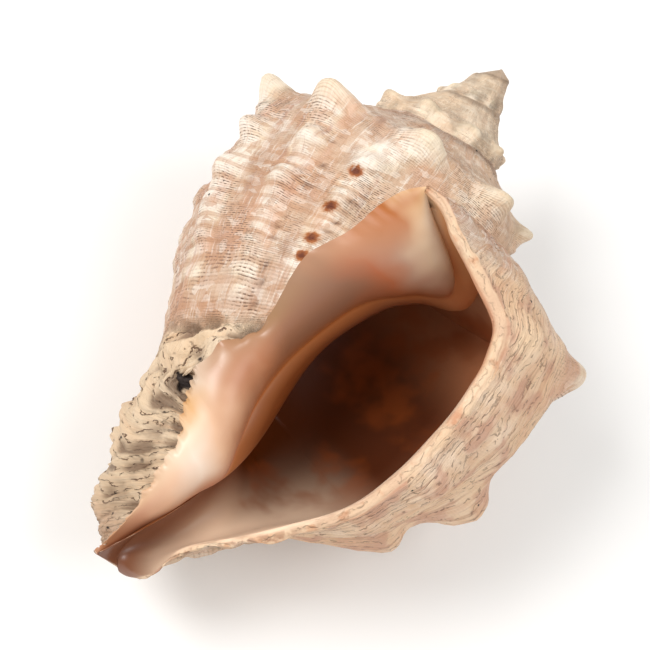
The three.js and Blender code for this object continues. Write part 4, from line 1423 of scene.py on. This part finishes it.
@dataclass(frozen=True)
class DarkHollow:
    """The lining of the hollow: smooth, pink at the lip, then darker inward, partly its own brown and
    partly painted shade, with orange-brown clouds of painted glow.
    """

    # darkens with depth: partly the lining's own brown, partly painted shade deep in the hollow
    lip: tuple = (
        (0.0, "F0D2B6"), (0.03, "E6BFA2"), (0.07, "BE8E74"), (0.13, "8E5A40"),
        (0.2, "582A14"), (0.32, "662E06"),
    )
    # darkens with depth: partly the glaze's own brown, partly painted shade
    pillar: tuple = ((0.0, "BE7A46"), (0.03, "A8663A"), (0.1, "7C421C"), (0.35, "6A300A"))
    # painted light: a pale pool on the floor of the canal
    floor: str = "FFDEBE"
    # painted shadow along the pillar's edge inside the spout
    pillar_shadow: str = "6C3412"
    # painted light on the upper wall a little way inside
    side: str = "DC9468"
    # painted light on the wall by the upper corner, which lies in shade
    corner: str = "F0CCA6"
    # painted light on the pillar's side near the upper corner
    pillar_light: str = "E2A874"
    # painted glow deep inside the hollow
    painted_glow: str = "A04E1A"

    def colour(self, m: Marks, glaze: Socket) -> Socket:
        """Colour inside: the wall's own run, and on the pillar's side the glaze going dark, partly
        painted shade, with painted light, a painted shadow and a painted glow laid over.
        """
        wall = m.add(RAMP, {0: m["depth"]}, stops=self.lip)
        # painted light: the canal's floor is made pale
        near = m.add(RANGE, {0: m["depth"], 1: 0.16, 2: 0.3, 3: 1.0, 4: 0.0}, SOFT)
        low = m.add(RANGE, {0: m["place"], 1: 0.67, 2: 0.75}, SOFT)
        wall = m.tinted(wall, self.floor, low, near)
        # painted light: the upper wall just inside is lightened
        near = m.add(RANGE, {0: m["depth"], 1: 0.16, 2: 0.4, 3: 0.75, 4: 0.0}, SOFT)
        high = m.add(RANGE, {0: m["place"], 1: 0.46, 2: 0.6, 3: 1.0, 4: 0.0}, SOFT)
        wall = m.tinted(wall, self.side, high, near)
        # painted light: the wall by the upper corner is lightened
        corner = m.add(RANGE, {0: m["place"], 1: 0.06, 2: 0.22, 3: 0.8, 4: 0.0}, SOFT)
        wall = m.tinted(wall, self.corner, corner)
        # painted glow: orange-brown clouds deep inside
        cloud = m.add(NOISE, {"Vector": m["space"], "Scale": 1 / (13 * MM), "Detail": 3.0})
        cloud = m.add(RANGE, {0: cloud, 1: 0.5, 2: 0.66, 4: 0.55}, SOFT)
        far = m.add(RANGE, {0: m["depth"], 1: 0.12, 2: 0.24}, SOFT)
        wall = m.tinted(wall, self.painted_glow, cloud, far)
        # painted shadow: a dark band where the pillar's edge overhangs
        pillar_shadow = m.add(RANGE, {0: m["place"], 1: 0.85, 2: 0.93, 4: 0.95}, SOFT)
        wall = m.tinted(wall, self.pillar_shadow, pillar_shadow)
        pillar = m.add(RAMP, {0: m["depth"]}, stops=self.pillar)
        # painted light: the pillar's side near the upper corner is lightened
        pillar_light = m.add(RANGE, {0: m["place"], 1: 0.82, 2: 0.93, 4: 0.85}, SOFT)
        near = m.add(RANGE, {0: m["depth"], 1: 0.03, 2: 0.2, 3: 1.0, 4: 0.0}, SOFT)
        pillar = m.tinted(pillar, self.pillar_light, pillar_light, near)
        inside = m.add(RANGE, {0: m["depth"], 1: 0.0, 2: 0.02}, SOFT)
        pillar = m.tinted(glaze, pillar, inside)
        return m.tinted(pillar, wall, m["lining"])


@dataclass(frozen=True)
class RimBand:
    """The lip's edge: between chalk and glaze, cream with orange blotches, worn at the spout."""

    cream: str = "E4C6A4"
    orange: str = "C87C48"
    worn: str = "96654C"
    blotch_mm: float = 3.4

    def colour(self, m: Marks) -> Socket:
        """Colour of the rim."""
        blotch = m.add(NOISE, {"Vector": m["space"], "Scale": 1 / (self.blotch_mm * MM), "Detail": 3.0})
        amount = m.add(RANGE, {0: blotch, 1: 0.5, 2: 0.66, 4: 0.8}, SOFT)
        colour = m.tinted(self.cream, self.orange, amount)
        spout = m.add(RANGE, {0: m["place"], 1: 0.7, 2: 0.78}, SOFT)
        rough = m.add(NOISE, {"Vector": m["space"], "Scale": 1 / (1.6 * MM), "Detail": 3.0})
        rough = m.add(RANGE, {0: rough, 1: 0.42, 2: 0.6}, SOFT)
        return m.tinted(colour, self.worn, spout, rough)


@dataclass(frozen=True)
class ShellMaterial:
    """The whole shell's material: four finishes of one grown piece, blended where they meet."""

    name: str = "weathered aragonite with glazed lip"
    chalk_roughness: float = 0.68
    glaze_roughness: float = 0.36

    def build(self) -> bpy.types.Material:
        """Makes the material."""
        material = bpy.data.materials.new(self.name)
        material.use_nodes = True
        tree = material.node_tree
        tree.nodes.clear()
        m = Marks(tree)
        chalk = ChalkyOuterLayer()
        outside, rim = chalk.colour(m), RimBand().colour(m)
        glaze = GlazedInnerLip().colour(m)
        inside = DarkHollow().colour(m, glaze)
        band = m.add(RANGE, {0: m["rim"], 1: 0.4, 2: 1.0, 4: 0.55}, SOFT)
        colour = m.tinted(outside, rim, band)
        colour = m.tinted(colour, inside, m["glaze"])
        matt = m.add(RANGE, {0: m["glaze"], 3: self.chalk_roughness, 4: self.glaze_roughness})
        bare = m.add(RANGE, {0: m["glaze"], 3: 1.0, 4: 0.03})
        height = m.add(MATH, {0: chalk.height(m), 1: bare}, Op.TIMES)
        bump = m.add("ShaderNodeBump", {"Height": height, "Distance": MM, "Strength": 1.0})
        inputs = {"Base Color": colour, "Roughness": matt, "Normal": bump, "IOR": 1.53}
        shader = m.add("ShaderNodeBsdfPrincipled", inputs)
        m.add("ShaderNodeOutputMaterial", {0: shader})
        return material


# ---- the piece and the studio ----------------------------------------------------------------
@dataclass
class ConchShell:
    """The one grown piece."""

    name: str = "conch_shell"
    fineness: Fineness = field(default_factory=Fineness)
    relief: Relief = field(default_factory=Relief)
    pose: RestingPose = field(default_factory=RestingPose)
    finish: ShellMaterial = field(default_factory=ShellMaterial)

    def build(self) -> bpy.types.Object:
        """Makes the mesh, with its marks on the faces' corners."""
        surface = ShellSurface(ShellForm(self.fineness), self.relief)
        points = self.pose.laid(surface.carved(), CAD_BOX)
        faces = surface.faces
        mesh = bpy.data.meshes.new(self.name)
        mesh.vertices.add(len(points))
        mesh.vertices.foreach_set("co", points.astype(np.float32).ravel())
        mesh.loops.add(faces.size)
        mesh.loops.foreach_set("vertex_index", faces.astype(np.int32).ravel())
        mesh.polygons.add(len(faces))
        mesh.polygons.foreach_set("loop_start", np.arange(0, faces.size, 3, dtype=np.int32))
        mesh.update(calc_edges=True)
        mesh.shade_smooth()
        for name, values in surface.marks.items():
            attribute = mesh.attributes.new(name, "FLOAT_VECTOR", "CORNER")
            attribute.data.foreach_set("vector", values.astype(np.float32).ravel())
        piece = bpy.data.objects.new(self.name, mesh)
        bpy.context.scene.collection.objects.link(piece)
        LOG.info("%s: %d triangles", self.name, len(faces))
        return piece

    def dress(self, piece: bpy.types.Object) -> None:
        """Gives the piece its material and its place in the frame."""
        piece.data.materials.append(self.finish.build())
        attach(piece, "root")
        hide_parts("shell")


@dataclass
class Studio:
    """A plain pale floor, a soft key light and a soft fill, and the camera."""

    floor_size: float = 4.0
    floor_colour: str = "FBFAF8"
    azimuth: float = -96.48  # degrees; 0 looks along +Y and 90 along -X
    elevation: float = 66.97
    roll: float = -43.56
    distance: float = 0.521
    aim: tuple = (0.0007, 0.0042, 0.0001)  # from the middle of the CAD box
    lens: float = 155.0
    sky: float = 0.56
    key: float = 4.9
    key_size: float = 0.32
    key_distance: float = 0.9
    fill: float = 3.2
    fill_size: float = 0.6
    fill_distance: float = 1.0

    def axes(self) -> tuple[Vector, Vector, Vector]:
        """The camera's right, up and backward directions."""
        a, e, r = np.radians((self.azimuth, self.elevation, self.roll))
        back = Vector((np.sin(a) * np.cos(e), -np.cos(a) * np.cos(e), np.sin(e)))
        level_right = Vector((0, 0, 1)).cross(back).normalized()
        level_up = back.cross(level_right)
        right = level_right * np.cos(r) - level_up * np.sin(r)
        return right, back.cross(right), back

    def middle(self) -> Vector:
        """The middle of the CAD box."""
        return (Vector(CAD_BOX[0]) + Vector(CAD_BOX[1])) / 2

    def camera(self) -> None:
        """Places the camera."""
        right, up, back = self.axes()
        data = bpy.data.cameras.new("camera")
        data.lens, data.sensor_width, data.clip_start = self.lens, 36.0, 0.01
        camera = bpy.data.objects.new("camera", data)
        turn = Matrix((right, up, back)).transposed().to_4x4()
        place = self.middle() + Vector(self.aim) + back * self.distance
        camera.matrix_world = Matrix.Translation(place) @ turn
        bpy.context.scene.collection.objects.link(camera)
        bpy.context.scene.camera = camera

    def lamp(self, name: str, direction: Vector, distance: float, size: float, power: float) -> None:
        """Adds a square soft light that looks at the shell."""
        data = bpy.data.lights.new(name, "AREA")
        data.size, data.energy = size, power
        lamp = bpy.data.objects.new(name, data)
        direction = direction.normalized()
        turn = direction.to_track_quat("Z", "Y").to_matrix().to_4x4()
        lamp.matrix_world = Matrix.Translation(self.middle() + direction * distance) @ turn
        bpy.context.scene.collection.objects.link(lamp)

    def lights(self) -> None:
        """A soft key from the upper left of the camera, a fill from its right and a pale sky."""
        right, up, back = self.axes()
        toward_key = back * 1.1 + up * 0.45 - right * 0.45
        toward_fill = back * 0.9 + up * 0.15 + right * 0.7
        self.lamp("key", toward_key, self.key_distance, self.key_size, self.key)
        self.lamp("fill", toward_fill, self.fill_distance, self.fill_size, self.fill)
        world = bpy.data.worlds.new("sky")
        world.use_nodes = True
        sky = world.node_tree.nodes["Background"]
        sky.inputs["Color"].default_value = (1, 1, 1, 1)
        sky.inputs["Strength"].default_value = self.sky
        bpy.context.scene.world = world
        bpy.context.scene.view_settings.view_transform = "Standard"

    def floor(self) -> None:
        """Makes the floor, a flat grid of two parameters, with a matt painted finish."""
        half = self.floor_size / 2
        x, y = np.meshgrid(np.linspace(-half, half, 3), np.linspace(-half, half, 3))
        points = np.stack([x, y, 0 * x], -1).reshape(-1, 3)
        n = np.arange(9).reshape(3, 3)
        a, b, c, d = n[:-1, :-1], n[:-1, 1:], n[1:, 1:], n[1:, :-1]
        faces = np.stack([a, b, c, d], -1).reshape(-1, 4)
        mesh = bpy.data.meshes.new("floor")
        mesh.from_pydata(points.tolist(), [], faces.tolist())
        material = bpy.data.materials.new("matt painted board")
        material.use_nodes = True
        shader = material.node_tree.nodes["Principled BSDF"]
        shader.inputs["Base Color"].default_value = linear(self.floor_colour)
        shader.inputs["Roughness"].default_value = 0.9
        mesh.materials.append(material)
        floor = bpy.data.objects.new("floor", mesh)
        bpy.context.scene.collection.objects.link(floor)


def main() -> None:
    """Builds the studio and the shell."""
    logging.basicConfig(level=logging.INFO, format="%(name)s: %(message)s")
    studio = Studio()
    studio.camera()
    studio.lights()
    studio.floor()
    shell = ConchShell()
    piece = shell.build()
    shell.dress(piece)


if __name__ == "__main__":
    main()
